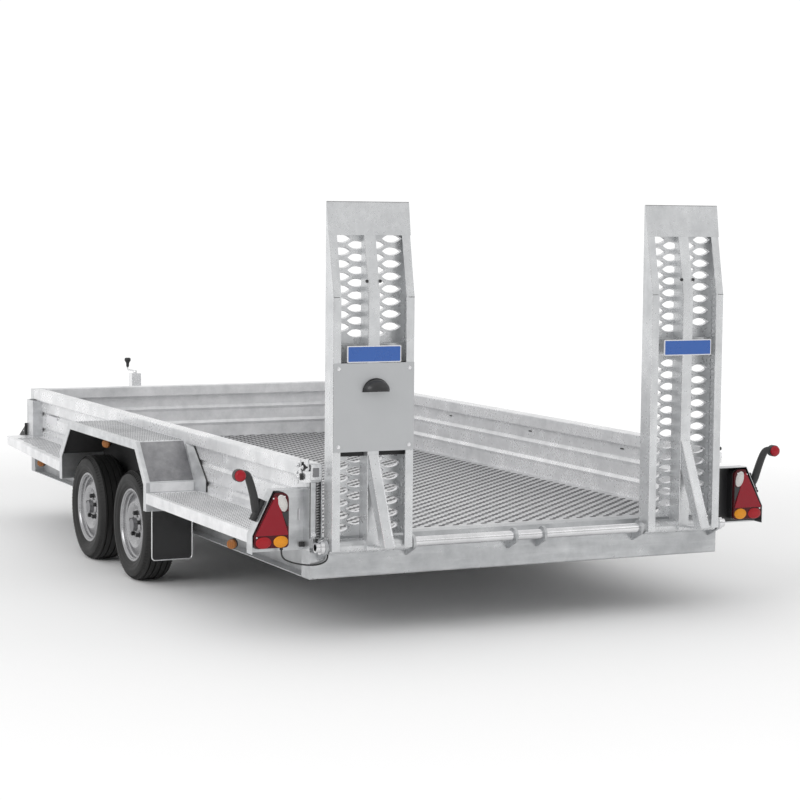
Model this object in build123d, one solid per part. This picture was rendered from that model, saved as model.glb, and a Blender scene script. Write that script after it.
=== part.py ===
# Tandem-axle plant trailer with two upright perforated ramps, in millimetres.
# +X is forward, +Y is left, +Z is up, and the floor is at Z = 0.
# Places along X are measured from the rear face of the rear beam, and every piece is
# moved back at the end, so that the origin is under the middle of the whole.
from build123d import *
import math
import os

# Clearances
seat_gap = 0.3               # between pieces that almost touch
running_clearance = 0.08     # round a shaft in its bore

# Bed and chassis
bed_length = 4070            # rear beam's rear face to the front wall's outer face
bed_half = 923               # middle of the bed to the inner face of a wall's top rail
wall_top = 728
top_rail_width = 65
top_rail_height = 60
top_rail_corner = 6
wall_set_out = 29            # inner face of a top rail to the middle of the wall's sheet
wall_foot = 32
swage_depth = 12
swage_height = 30
swage_levels = (500, 590)
deck_top = 420
sheet = 4                    # deck, walls, wings and channels
chassis_low = 254
rail_set_out = 5             # inner face of a top rail to the web of a chassis rail
rail_flange = 57
rear_beam_depth = 90
rear_beam_top = 372
beam_wall = 5
sill_foot = 32
sill_rise = 14
sill_depth = 115
front_beam_depth = 70
member_height = 100
member_width = 50
member_count = 9
corner_inset = 40            # how far the front wall's sheet ends before the side wall's sheet
corner_length = 120
corner_proud = 22            # how far a front post stands out of the top rail

# Ramps, upright at rest
hinge_x = -52
hinge_z = 394
ramp_set_out = 9             # inner face of a top rail to the outer side of a ramp
ramp_width = 362
ramp_back = -98              # underside, which faces rearward when the ramp is up
ramp_face = -18              # drive surface, which faces the bed when the ramp is up
ramp_low = 380
ramp_tip = 1795
lip_length = 127             # the lip plate above the treads
taper_length = 259           # below the lip plate, where the underside comes nearer the treads
lip_back = -47
tip_thickness = 9
ramp_rail_flange = 35
ramp_beam_width = 50
ramp_sheet = 4
panel_below_lip = 448        # lip plate to the upper edge of the cross panel
cross_panel_height = 76
cross_panel_depth = 26
hinge_bar_radius = 21
hinge_bar_bore = 15
hinge_bar_bore_depth = 60
hinge_bar_end = 34           # how far the bar stands out of the last lug
collar_width = 16
sleeve_radius = 30
sleeve_clearance = 0.5
lug_radius = 33
lug_thickness = 12
lug_height = 40
middle_lug = 70
lug_gap_inner = 14
lug_gap_outer = 8

# Perforated treads: leaf-shaped holes between two arcs, staggered from column to column
plank_sheet = 3
plank_gap = 1
plank_above_sleeve = 6
lens_half_length = 46
lens_half_height = 18.5
lens_pitch = 51.25
lens_columns = (42, 112)     # from the middle of the ramp
lens_first = 441             # level of the lowest holes of the first column

# Ramp feet and the number board
foot_top = 770
foot_reach = 168             # how far a foot stands behind the underside
foot_low = 410
foot_width = 41
foot_depth = 48
foot_heel = 8
foot_shoulder = 120
board_low = 784
board_size = 360
board_sheet = 3
plate_lamp_low = 1000
plate_lamp_height = 90
plate_lamp_depth = 42
plate_lamp_width = 114
plate_lamp_side = 8          # from the middle of the ramp towards the middle of the trailer

# Wheels and axles
tyre_radius = 261
tyre_width = 157
tyre_shoulder = 24
tyre_crown_drop = 12
sidewall_radius = 215
wheel_set_out = 184          # inner face of a top rail to the middle of a tyre
axle_middle = 2060
axle_spacing = 682
rim_radius = 171
rim_seat = 160
rim_half_width = 62
rim_sheet = 5
bead_inset = 7
bead_gap = 0.5
well_depth = 5
well_slope = 14
disc_offset = 30
disc_steps = ((32, 0), (78, 0), (100, 13.5), (125, 7.5))     # distance from the axle, height of the step
spindle_radius = 17.5
drum_radius = 112
drum_gap = 5
drum_bottom = 38             # thickness of the drum's closed side
hub_radius = 31
hub_height = 34
backplate_radius = 116
backplate_set_in = 62        # middle of a tyre to the outer face of a backplate
backplate_sheet = 4
spindle_set_in = 12          # middle of a tyre to the end of the spindle
axle_tube = 70
arm_gap = 5
arm_thickness = 27
arm_reach = 145
arm_root_radius = 42
arm_end_radius = 32
nut_count = 5
nut_circle = 56
nut_radius = 12
nut_height = 20

# Wings and running boards
wing_reach = 302             # inner face of a top rail to the outer side of a wing
wing_top = 683
wing_top_back = 566          # these four are measured from the middle between the axles
wing_top_ahead = 485
wing_foot_back = 710
wing_foot_ahead = 651
wing_slope_end = 507
wing_end_low = 374
wing_lip = 38
board_top = 460
board_lip = 50
board_taper = 97             # how much narrower the front board is at its front end
flap_sheet = 5
flap_low = 130
flap_hold = 60
flap_side = 7
flap_set_in = 35
flap_notch = 26

# Rear corners and lamps
post_set_out = 11
post_set_in = 3
post_depth = 42
post_cap = 72                # height of the closed top of a rear post
spring_radius = 11
spring_x = 16
latch_depth = 30
latch_width = 23
latch_low = 654
latch_height = 46
latch_pin_radius = 7
latch_knob_radius = 11
latch_knob_height = 18
latch_top = 748
lamp_plate_x = 60
lamp_plate_reach = 6
lamp_plate_low = 372
lamp_plate_top = 630
plate_slot_set_in = 42
plate_slot_width = 12
plate_slot_low = 487
plate_slot_height = 50
lamp_depth = 62
lamp_width = 154
lamp_low = 392
lamp_side = 56               # height of the upright part of a tail lamp's outer side
lamp_top = 620
lamp_slant = 91
ear_length = 42
ear_level = 522
ear_half_height = 22
stalk_base_radius = 19
stalk_base_length = 40
stalk_radius = 12
stalk_rise = 172
stalk_lean_out = 38
stalk_lean_back = 50
marker_radius = 24
marker_half_length = 28
side_marker_radius = 17
side_marker_length = 32
side_marker_back = 20
hanger_half_width = 8
hanger_sheet = 3
rear_marker_x = 340
wing_marker_back = 40        # behind the middle between the axles
front_marker_back = 620      # behind the front wall
marker_level = 382
wing_marker_level = 620

# Drawbar, coupling and jack
drawbar_length = 1080
drawbar_low = 300
drawbar_height = 100
drawbar_thickness = 60
drawbar_rear_half = 560
drawbar_front_half = 78
nose_sheet = 8
nose_length = 410
collar_wall = 12
collar_height = 56
jack_back = 279              # behind the drawbar's front end
jack_y = 90
jack_tube_size = 60
jack_tube_wall = 4
jack_tube_low = 312
jack_tube_top = 740
jack_lid = 8
jack_slide_gap = 0.5
jack_stroke = 80
jack_end_gap = 12
jack_wheel_radius = 100
jack_wheel_width = 50
jack_trail = 42
jack_hub_radius = 24
jack_rim_radius = 64
jack_web_half = 7
fork_top = 212
fork_plate = 6
fork_side_gap = 5
fork_half_length = 30
fork_end_half = 22
fork_end_drop = 16
swivel_radius = 12
swivel_height = 12
axle_pin_radius = 8
crank_radius = 6
crank_boss_radius = 12
crank_boss_height = 14
crank_reach = 115
crank_side = 10
grip_low = 776
grip_high = 830
grip_radius = 17
coupling_z = 458
housing_back = 215           # behind the drawbar's front end
housing_length = 320
housing_width = 90
housing_cover = 40
housing_corner = 12
gaiter_length = 145
gaiter_groove_radius = 30
gaiter_ridge_radius = 38
ridge_count = 6
head_half_width = 36
head_half_height = 34
head_crown = 6
ball_radius = 25.5
ball_ahead = 120             # in front of the gaiter
head_end = 80                # in front of the ball
head_nose = 39
handle_half_width = 14
handle_thickness = 16
handle_rise = 92
lever_pivot_ahead = 60
lever_boss_radius = 26
lever_thickness = 12
lever_width = 22
lever_length = 290
lever_rise = 90
lever_grip_length = 90
lever_grip_radius = 15

# Wheel chocks at the front corners
chock_length = 144
chock_height = 74
chock_toe = 16
chock_crown = 36
chock_inner_set_in = 18
chock_width = 110
holder_margin = 10
holder_low = 430
holder_height = 100
holder_shelf = 120
holder_shelf_margin = 20

# The lamp lead, from a gland under the left tail lamp to a gland on the rear beam. Its route gives
# the place along X, the distance outside the inner face of a top rail, and the level.
lead_radius = 3.5
gland_radius = 7
gland_height = 12
lead_bends = [(30, 177, 380), (30, 177, 358), (27, 164, 340), (17, 137, 328), (1, 101, 320),
              (-12, 61, 316), (-14, 27, 318), (-13, 1, 327), (-12, -11, 341), (-12, -11, 359)]

rail_top = deck_top - sheet
bed_outer = bed_half + top_rail_width
wall_line = bed_half + wall_set_out       # middle of a side wall's sheet
front_line = bed_length - top_rail_width / 2
front_wall_half = wall_line - corner_inset
rail_inner = bed_half + rail_set_out
rail_outer = rail_inner + rail_flange
rail_box_low = wall_top - top_rail_height
post_rear = bed_length - corner_length
corner_outer = bed_outer + corner_proud
ramp_outer = bed_half + ramp_set_out
ramp_inner = ramp_outer - ramp_width
ramp_middle = ramp_inner + ramp_width / 2
ramp_lip = ramp_tip - lip_length
ramp_bend = ramp_lip - taper_length
cross_panel_high = ramp_lip - panel_below_lip
cross_panel_low = cross_panel_high - cross_panel_height
lug_places = (middle_lug, ramp_inner - lug_gap_inner - lug_thickness / 2,
              ramp_outer + lug_gap_outer + lug_thickness / 2)
foot_tip = ramp_back - foot_reach
track_half = bed_half + wheel_set_out
axle_places = (axle_middle - axle_spacing / 2, axle_middle + axle_spacing / 2)
backplate_face = track_half - backplate_set_in
disc_face = track_half + disc_offset
wing_outer = bed_half + wing_reach
wing_rear = axle_middle - wing_foot_back
wing_front = axle_middle + wing_foot_ahead
post_inner = bed_half + post_set_out
post_outer = bed_outer - post_set_in
lamp_plate_outer = wing_outer + lamp_plate_reach
drawbar_end = bed_length + drawbar_length
plate_top = drawbar_low + drawbar_height + nose_sheet
jack_x = drawbar_end - jack_back
housing_rear = drawbar_end - housing_back
housing_end = housing_rear + housing_length
gaiter_end = housing_end + gaiter_length
ball_x = gaiter_end + ball_ahead
coupling_end = ball_x + head_end
origin_x = (coupling_end + foot_tip) / 2

pieces = {}


def block(x0, x1, y0, y1, z0, z1):
    return Pos((x0 + x1) / 2, (y0 + y1) / 2, (z0 + z1) / 2) * Box(x1 - x0, y1 - y0, z1 - z0)


def outline(points):
    return make_face(Polyline(*points, close=True))


def along_x(face, x0, x1):
    return extrude(Plane.YZ.offset(x0) * face, x1 - x0)


def along_y(face, y0, y1):
    return extrude(Plane.XZ.offset(-y1) * face, y1 - y0)


def along_z(face, z0, z1):
    return extrude(Plane.XY.offset(z0) * face, z1 - z0)


def folded(points, thickness):
    # The closed section of a sheet of this thickness whose middle follows the points.
    half = thickness / 2
    left = []
    right = []
    for i, (a, b) in enumerate(points):
        before = points[max(i - 1, 0)]
        after = points[min(i + 1, len(points) - 1)]
        first = (a - before[0], b - before[1]) if i > 0 else (after[0] - a, after[1] - b)
        last = (after[0] - a, after[1] - b) if i < len(points) - 1 else first
        u = (first[0] / math.hypot(*first), first[1] / math.hypot(*first))
        v = (last[0] / math.hypot(*last), last[1] / math.hypot(*last))
        normal = (-(u[1] + v[1]), u[0] + v[0])
        scale_to_face = half / (normal[1] * v[0] - normal[0] * v[1])
        left.append((a + normal[0] * scale_to_face, b + normal[1] * scale_to_face))
        right.append((a - normal[0] * scale_to_face, b - normal[1] * scale_to_face))
    return outline(left + right[::-1])


def rod(start, end, radius):
    direction = Vector(*end) - Vector(*start)
    return extrude(Plane(origin=start, z_dir=direction) * Circle(radius), direction.length)


def turned(profile, x, y, z):
    # Turns a profile of (distance from the axle, place along Y) about the axle through x, z.
    return Pos(0, y, 0) * revolve(Plane(origin=(x, 0, z), x_dir=(1, 0, 0), z_dir=(0, 0, 1)) * profile,
                                  Axis((x, 0, z), (0, 1, 0)), 360)


def mirrored(shape):
    return mirror(shape, Plane.XZ)


def add(name, *solids):
    pieces[name] = solids[0] if len(solids) == 1 else Compound(children=list(solids))


def box_beam(x0, x1, z0, z1):
    # A closed beam across the whole chassis.
    middle = Pos((x0 + x1) / 2, (z0 + z1) / 2)
    outer = middle * RectangleRounded(x1 - x0, z1 - z0, 1.6 * beam_wall)
    inner = middle * RectangleRounded(x1 - x0 - 2 * beam_wall, z1 - z0 - 2 * beam_wall, 0.6 * beam_wall)
    beam = along_y(outer - inner, -rail_outer, rail_outer)
    for y in (-rail_outer, rail_outer - beam_wall):
        beam += along_y(inner, y, y + beam_wall)
    return beam


def channel(x0, x1, y0, y1):
    # A channel's section from (x1, y1) back to (x0, y1), along to (x0, y0) and on to (x1, y0).
    return folded([(x1, y1), (x0, y1), (x0, y0), (x1, y0)], sheet)


# Chassis rails: channels that open outwards and carry the walls on their upper flange
rail_face = channel(rail_inner + sheet / 2, rail_outer, chassis_low + sheet / 2, rail_top - sheet / 2)
rail = along_x(rail_face, rear_beam_depth + seat_gap, bed_length - front_beam_depth - seat_gap)
add("chassis_rails", rail, mirrored(rail))

# Cross members: channels between the rails, which carry the deck
member_step = (bed_length - front_beam_depth - sill_depth) / member_count
members = []
for number in range(member_count):
    member_x = sill_depth + member_step * (number + 0.5)
    member_face = channel(member_x + sheet / 2, member_x + member_width,
                          rail_top - member_height + sheet / 2, rail_top - sheet / 2)
    members.append(along_y(member_face, -rail_inner, rail_inner))
add("cross_members", *members)

# Rear beam: a closed box with the sill above it and the hinge lugs behind it
rear_beam = box_beam(0, rear_beam_depth, chassis_low, rear_beam_top)
sill_top = deck_top - sheet / 2
sill_face = folded([(sill_foot, rear_beam_top), (sill_foot + sill_rise, sill_top), (sill_depth, sill_top)], sheet)
rear_beam += along_y(sill_face, -rail_inner, rail_inner)
rear_beam += block(rear_beam_depth - beam_wall - sheet, rear_beam_depth - beam_wall, -rail_inner, rail_inner,
                   rear_beam_top - beam_wall / 2, rail_top)
lug_root = Pos(beam_wall / 2, rear_beam_top - lug_height / 2) * Rectangle(beam_wall, lug_height)
lug_face = make_hull(Circle(lug_radius).moved(Pos(hinge_x, hinge_z)).edges() + lug_root.edges())
lug_face -= Pos(hinge_x, hinge_z) * Circle(hinge_bar_radius + seat_gap)
for place in lug_places:
    for side in (-1, 1):
        lug_start = side * place - lug_thickness / 2
        rear_beam += along_y(lug_face, lug_start, lug_start + lug_thickness)
add("rear_beam", rear_beam)

# Hinge bar through the lugs, open at its ends, with a collar outside each last lug
last_lug_face = lug_places[-1] + lug_thickness / 2
hinge_bar_half = last_lug_face + hinge_bar_end
hinge_bar = rod((hinge_x, -hinge_bar_half, hinge_z), (hinge_x, hinge_bar_half, hinge_z), hinge_bar_radius)
for side in (-1, 1):
    collar_start = side * (last_lug_face + seat_gap)
    hinge_bar += rod((hinge_x, collar_start, hinge_z), (hinge_x, collar_start + side * collar_width, hinge_z),
                     sleeve_radius)
    hinge_bar -= rod((hinge_x, side * (hinge_bar_half - hinge_bar_bore_depth), hinge_z),
                     (hinge_x, side * hinge_bar_half, hinge_z), hinge_bar_bore)
add("hinge_bar", hinge_bar)

# Front beam under the front wall
add("front_beam", box_beam(bed_length - front_beam_depth, bed_length, chassis_low, rail_top))

# Deck, notched round the front posts
deck_half = wall_line - sheet / 2
corner_rear = bed_length - top_rail_width
notch_rear = corner_rear - seat_gap
notch_side = front_wall_half - seat_gap
deck = block(sill_depth, notch_rear, -deck_half, deck_half, rail_top, deck_top)
deck += block(notch_rear, front_line - sheet / 2, -notch_side, notch_side, rail_top, deck_top)
add("deck", deck)

# Walls: a sheet with pressed swages and an outward foot, under a hollow top rail
rail_box = (RectangleRounded(top_rail_width, top_rail_height, top_rail_corner)
            - RectangleRounded(top_rail_width - 2 * sheet, top_rail_height - 2 * sheet, top_rail_corner - sheet))


def wall_section(line):
    points = [(line, rail_box_low + sheet / 2)]
    for level in reversed(swage_levels):
        points += [(line, level + swage_height / 2), (line - swage_depth, level), (line, level - swage_height / 2)]
    points += [(line, deck_top - sheet / 2), (line + wall_foot, deck_top - sheet / 2)]
    return folded(points, sheet)


side_rail = Pos((bed_half + bed_outer) / 2, wall_top - top_rail_height / 2) * rail_box
wall_left = along_x(side_rail + wall_section(wall_line), post_depth + seat_gap, corner_rear)
add("wall_left", wall_left)
add("wall_right", mirrored(wall_left))
front_rail = Pos(front_line, wall_top - top_rail_height / 2) * rail_box
add("wall_front", along_y(front_rail + wall_section(front_line), -front_wall_half, front_wall_half))

# Front posts: a hollow corner between the walls, with a folded guard on its outer side
corner_middle = Pos(front_line, (front_wall_half + bed_outer) / 2)
corner_size = (top_rail_width, bed_outer - front_wall_half)
corner_hollow = Rectangle(corner_size[0] - 2 * sheet, corner_size[1] - 2 * sheet)
front_post = along_z(corner_middle * (Rectangle(*corner_size) - corner_hollow), rail_top, wall_top)
front_post += along_z(corner_middle * corner_hollow, wall_top - sheet, wall_top)
guard_face = folded([(post_rear + sheet / 2, wall_line + sheet / 2), (post_rear + sheet / 2, corner_outer - sheet / 2),
                     (bed_length - sheet / 2, corner_outer - sheet / 2), (bed_length - sheet / 2, bed_outer)], sheet)
front_post += along_z(guard_face, deck_top, rail_box_low)
add("front_posts", front_post, mirrored(front_post))

# Rear posts: channels open to the rear that hold the ramp springs, closed at the top
post_section = folded([(0, post_inner + sheet / 2), (post_depth - sheet / 2, post_inner + sheet / 2),
                       (post_depth - sheet / 2, post_outer - sheet / 2), (0, post_outer - sheet / 2)], sheet)
cap_low = wall_top - post_cap
rear_post = along_z(post_section, deck_top, cap_low)
rear_post += block(0, post_depth, post_inner, post_outer, cap_low, wall_top)
add("rear_posts", rear_post, mirrored(rear_post))

spring_y = (post_inner + post_outer) / 2
spring = rod((spring_x, spring_y, deck_top), (spring_x, spring_y, cap_low), spring_radius)
add("ramp_springs", spring, mirrored(spring))

# Ramp latches: a housing on the outer side of each rear post, with a pin and its knob
latch_middle = (latch_depth / 2, post_outer + latch_width / 2)
latch = block(0, latch_depth, post_outer, post_outer + latch_width, latch_low, latch_low + latch_height)
latch += rod((*latch_middle, latch_low + latch_height), (*latch_middle, latch_top), latch_pin_radius)
latch += rod((*latch_middle, latch_top - latch_knob_height), (*latch_middle, latch_top), latch_knob_radius)
add("ramp_latches", latch, mirrored(latch))

# Wings over the wheels: top, sloped ends, upright ends and the outer lip
wing_top_rear = axle_middle - wing_top_back
wing_top_front = axle_middle + wing_top_ahead
wing_path = [(wing_rear, wing_end_low), (wing_rear, wing_slope_end), (wing_top_rear, wing_top - sheet / 2),
             (wing_top_front, wing_top - sheet / 2), (wing_front, wing_slope_end), (wing_front, wing_end_low)]
half_lip = wing_lip / 2
lip_path = [(wing_rear + half_lip, wing_end_low), (wing_rear + half_lip, wing_slope_end - half_lip / 3),
            (wing_top_rear + half_lip / 2, wing_top - half_lip), (wing_top_front - half_lip / 2, wing_top - half_lip),
            (wing_front - half_lip, wing_slope_end - half_lip / 3), (wing_front - half_lip, wing_end_low)]
wing = along_y(folded(wing_path, sheet), bed_outer, wing_outer)
wing += along_y(folded(lip_path, wing_lip), wing_outer - sheet, wing_outer)
add("wings", wing, mirrored(wing))

# Running boards: folded at the rear, and tapered with a closed front end at the front
board_middle = board_top - sheet / 2
rear_board_face = folded([(wall_line + sheet / 2, board_middle), (wing_outer - sheet / 2, board_middle),
                          (wing_outer - sheet / 2, board_top - board_lip)], sheet)
rear_board = along_x(rear_board_face, lamp_plate_x + sheet, wing_rear - sheet / 2)
front_start = wing_front + sheet / 2
board_end_outer = wing_outer - board_taper
wall_face = wall_line + sheet / 2
front_top = outline([(front_start, wall_face), (front_start, wing_outer), (bed_length, board_end_outer),
                     (bed_length, corner_outer), (post_rear, corner_outer), (post_rear, wall_face)])
front_inside = outline([(front_start, wall_face), (front_start, wing_outer - sheet),
                        (bed_length - sheet, board_end_outer - sheet), (bed_length - sheet, wall_face)])
front_board = along_z(front_top, board_top - board_lip, board_top)
front_board -= along_z(front_inside, board_top - board_lip, board_top - sheet)
add("running_boards", rear_board, front_board, mirrored(rear_board), mirrored(front_board))

# Mud flaps behind the rear wheels, held by the wings' rear ends
flap_inner = bed_outer + flap_side
flap_outer = wing_outer - flap_set_in
flap_top = wing_end_low + flap_hold
flap_face = outline([(flap_inner, flap_low), (flap_outer, flap_low), (flap_outer, wing_end_low),
                     (flap_outer - flap_notch, flap_top), (flap_inner, flap_top)])
flap = along_x(flap_face, wing_rear + sheet / 2, wing_rear + sheet / 2 + flap_sheet)
add("mud_flaps", flap, mirrored(flap))

# Lamp plates at the rear corners, each with a return, a slot and an ear for its marker
lamp_plate_face = Pos((bed_outer + lamp_plate_outer) / 2, (lamp_plate_low + lamp_plate_top) / 2) * Rectangle(
    lamp_plate_outer - bed_outer, lamp_plate_top - lamp_plate_low)
lamp_plate_face += Pos(lamp_plate_outer + ear_length / 2, ear_level) * Rectangle(ear_length, 2 * ear_half_height)
lamp_plate_face -= Pos(bed_outer + plate_slot_set_in, plate_slot_low + plate_slot_height / 2) * Rectangle(
    plate_slot_width, plate_slot_height)
lamp_plate = along_x(lamp_plate_face, lamp_plate_x, lamp_plate_x + sheet)
lamp_plate += block(0, lamp_plate_x, bed_outer, bed_outer + sheet, lamp_plate_low, lamp_plate_top)
add("lamp_plates", lamp_plate, mirrored(lamp_plate))

# Tail lamps, each with a slanted upper outer side
lamp_inner = lamp_plate_outer - lamp_width
lamp_face = outline([(lamp_inner, lamp_low), (lamp_plate_outer, lamp_low), (lamp_plate_outer, lamp_low + lamp_side),
                     (lamp_plate_outer - lamp_slant, lamp_top), (lamp_inner, lamp_top)])
lamp = along_x(lamp_face, lamp_plate_x - lamp_depth, lamp_plate_x)
add("tail_lamps", lamp, mirrored(lamp))

# Marker lamps on leaning rubber stalks
stalk_y = lamp_plate_outer + ear_length / 2
stalk_x = lamp_plate_x - stalk_base_length / 2
marker_x = lamp_plate_x - stalk_lean_back
marker_y = stalk_y + stalk_lean_out
marker_z = ear_level + stalk_rise
stalk = rod((lamp_plate_x, stalk_y, ear_level), (lamp_plate_x - stalk_base_length, stalk_y, ear_level),
            stalk_base_radius)
stalk += rod((stalk_x, stalk_y, ear_level), (marker_x, marker_y, marker_z), stalk_radius)
stalk += rod((marker_x - marker_half_length, marker_y, marker_z), (marker_x + marker_half_length, marker_y, marker_z),
             marker_radius)
add("marker_stalks", stalk, mirrored(stalk))

# Side marker lamps on hangers under the boards and the wings
side_marker_table = [                     # place along X, place along Y, level, underside above it
    (rear_marker_x, wing_outer - 25, marker_level, board_top - sheet),
    (axle_middle - wing_marker_back, wing_outer - 30, wing_marker_level, wing_top - sheet),
    (bed_length - front_marker_back, board_end_outer - 18, marker_level, board_top - sheet)]
markers = []
for x, y, z, underside in side_marker_table:
    marker = block(x - hanger_half_width, x + hanger_half_width, y - hanger_sheet, y, z, underside)
    back = y - side_marker_back
    marker += rod((x, back, z), (x, back + side_marker_length, z), side_marker_radius)
    markers.append(marker)
add("side_markers", *markers, *[mirrored(marker) for marker in markers])

# Axles: a square tube under the rails, trailing arms, spindles and backplates
arm_inner = rail_outer + arm_gap
tube_z = chassis_low - axle_tube / 2
for name, axle_x in zip(("axle_rear", "axle_front"), axle_places):
    tube_x = axle_x + arm_reach
    axle = block(tube_x - axle_tube / 2, tube_x + axle_tube / 2, -arm_inner, arm_inner, tube_z - axle_tube / 2,
                 chassis_low)
    arm_face = make_hull([Pos(tube_x, tube_z) * Circle(arm_root_radius).edge(),
                          Pos(axle_x, tyre_radius) * Circle(arm_end_radius).edge()])
    arm = along_y(arm_face, arm_inner, arm_inner + arm_thickness)
    arm += rod((axle_x, arm_inner, tyre_radius), (axle_x, track_half - spindle_set_in, tyre_radius), spindle_radius)
    arm += rod((axle_x, backplate_face - backplate_sheet, tyre_radius), (axle_x, backplate_face, tyre_radius),
               backplate_radius)
    add(name, axle + arm + mirrored(arm))

# Wheels: tyre, rim with its nuts, and drum with its hub
bead = rim_half_width - bead_inset
bead_radius = rim_seat + rim_sheet / 2 + bead_gap
crown = tyre_width / 2
tyre_half = [(bead_radius, bead - 2 * bead_gap), (rim_radius + rim_sheet, bead + rim_sheet), (sidewall_radius, crown),
             (tyre_radius - tyre_crown_drop, crown - tyre_shoulder / 3), (tyre_radius, crown - tyre_shoulder)]
tyre_profile = outline([(radius, -across) for radius, across in tyre_half] + tyre_half[::-1])
well = rim_seat - well_depth
barrel_half = [(rim_radius - rim_sheet / 2, rim_half_width), (rim_seat, bead), (well, bead - well_slope)]
barrel = folded([(radius, -across) for radius, across in barrel_half] + barrel_half[::-1], rim_sheet)
disc_middle = disc_offset + rim_sheet / 2
disc = folded([(radius, disc_middle + step) for radius, step in disc_steps] + [(well, disc_middle)], rim_sheet)
wheel_table = [                           # name, place along X, side
    ("rear_left", axle_places[0], 1), ("rear_right", axle_places[0], -1),
    ("front_left", axle_places[1], 1), ("front_right", axle_places[1], -1)]
for name, axle_x, side in wheel_table:
    tyre = turned(tyre_profile, axle_x, track_half, tyre_radius)
    rim = turned(barrel + disc, axle_x, track_half, tyre_radius)
    for number in range(nut_count):
        angle = 2 * math.pi * number / nut_count
        nut_place = Pos(axle_x + nut_circle * math.cos(angle), tyre_radius + nut_circle * math.sin(angle))
        rim += along_y(nut_place * RegularPolygon(nut_radius, 6), disc_face + rim_sheet,
                       disc_face + rim_sheet + nut_height)
    drum_start = backplate_face + drum_gap
    drum = rod((axle_x, drum_start, tyre_radius), (axle_x, disc_face, tyre_radius), drum_radius)
    drum += rod((axle_x, disc_face, tyre_radius), (axle_x, disc_face + hub_height, tyre_radius), hub_radius)
    drum -= rod((axle_x, drum_start, tyre_radius), (axle_x, disc_face - drum_bottom, tyre_radius),
                spindle_radius + running_clearance)
    if side < 0:
        tyre = mirrored(tyre)
        rim = mirrored(rim)
        drum = mirrored(drum)
    add("tyre_" + name, tyre)
    add("rim_" + name, rim)
    add("drum_" + name, drum)

# Ramp frames: two side flanges, a centre beam, the lip plate, a cross panel and the hinge sleeve
back_line = ramp_back + ramp_sheet / 2
plank_back = ramp_face - plank_sheet
web_face = outline([(ramp_back, ramp_low), (plank_back, ramp_low), (plank_back, ramp_lip),
                    (lip_back, ramp_lip), (ramp_back, ramp_bend)])
back_face = folded([(back_line, ramp_low), (back_line, ramp_bend), (lip_back + ramp_sheet / 2, ramp_lip)], ramp_sheet)
beam_half = ramp_beam_width / 2
web_starts = (ramp_inner, ramp_middle - beam_half, ramp_middle + beam_half - ramp_sheet, ramp_outer - ramp_sheet)
back_strips = [(ramp_inner, ramp_inner + ramp_rail_flange), (ramp_middle - beam_half, ramp_middle + beam_half),
               (ramp_outer - ramp_rail_flange, ramp_outer)]
ramp_frame = along_y(outline([(lip_back, ramp_lip), (ramp_face, ramp_lip), (ramp_face, ramp_tip),
                              (ramp_face - tip_thickness, ramp_tip)]), ramp_inner, ramp_outer)
for start in web_starts:
    ramp_frame += along_y(web_face, start, start + ramp_sheet)
for start, end in back_strips:
    ramp_frame += along_y(back_face, start, end)
ramp_frame += block(plank_back - cross_panel_depth, plank_back, ramp_inner + ramp_sheet, ramp_outer - ramp_sheet,
                    cross_panel_low, cross_panel_high)
ramp_frame += rod((hinge_x, ramp_inner, hinge_z), (hinge_x, ramp_outer, hinge_z), sleeve_radius)
ramp_frame -= rod((hinge_x, ramp_inner, hinge_z), (hinge_x, ramp_outer, hinge_z), hinge_bar_radius + sleeve_clearance)
add("ramp_frame_left", ramp_frame)
add("ramp_frame_right", mirrored(ramp_frame))

# Perforated treads: two planks a ramp, pierced by staggered leaf-shaped holes
lens_arcs = [ThreePointArc((-lens_half_length, 0), (0, rise), (lens_half_length, 0))
             for rise in (lens_half_height, -lens_half_height)]
lens = make_face(lens_arcs)
plank_low = hinge_z + sleeve_radius + plank_above_sleeve
plank_width = ramp_width / 2 - plank_gap / 2
planks = []
for side in (-1, 1):
    plank_middle = ramp_middle + side * (plank_gap + plank_width) / 2
    tread = Pos(plank_middle, (plank_low + ramp_lip) / 2) * Rectangle(plank_width, ramp_lip - plank_low)
    holes = []
    for column, offset in enumerate(lens_columns):
        level = lens_first + column * lens_pitch / 2
        while level + lens_half_height < ramp_lip:
            behind_panel = cross_panel_low - lens_half_height < level < cross_panel_high + lens_half_height
            if level - lens_half_height > plank_low and not behind_panel:
                holes.append(Pos(ramp_middle + side * offset, level) * lens)
            level += lens_pitch
    planks.append(along_x(tread - holes, plank_back, ramp_face))
add("ramp_treads_left", *planks)
add("ramp_treads_right", *[mirrored(plank) for plank in planks])

# Ramp feet, which hold the bed's rear end up when the ramp is down
foot_strip = folded([(ramp_back, foot_top), (foot_tip + ramp_sheet / 2, foot_low)], ramp_sheet)
foot_side = outline([(ramp_back, foot_top), (foot_tip, foot_low), (foot_tip + foot_depth, foot_low - foot_heel),
                     (ramp_back, foot_top - foot_shoulder)])
foot_base = folded([(foot_tip + ramp_sheet / 2, foot_low - ramp_sheet / 2), (ramp_back, hinge_z)], ramp_sheet)
foot_start = ramp_middle - foot_width / 2
foot_end = foot_start + foot_width
foot = along_y(foot_strip, foot_start, foot_end) + along_y(foot_base, foot_start, foot_end)
foot += along_y(foot_side, foot_start, foot_start + ramp_sheet)
foot += along_y(foot_side, foot_end - ramp_sheet, foot_end)
foot &= block(foot_tip - ramp_sheet, ramp_back, foot_start, foot_end, 0, ramp_tip)
add("ramp_foot_left", foot)
add("ramp_foot_right", mirrored(foot))

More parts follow.
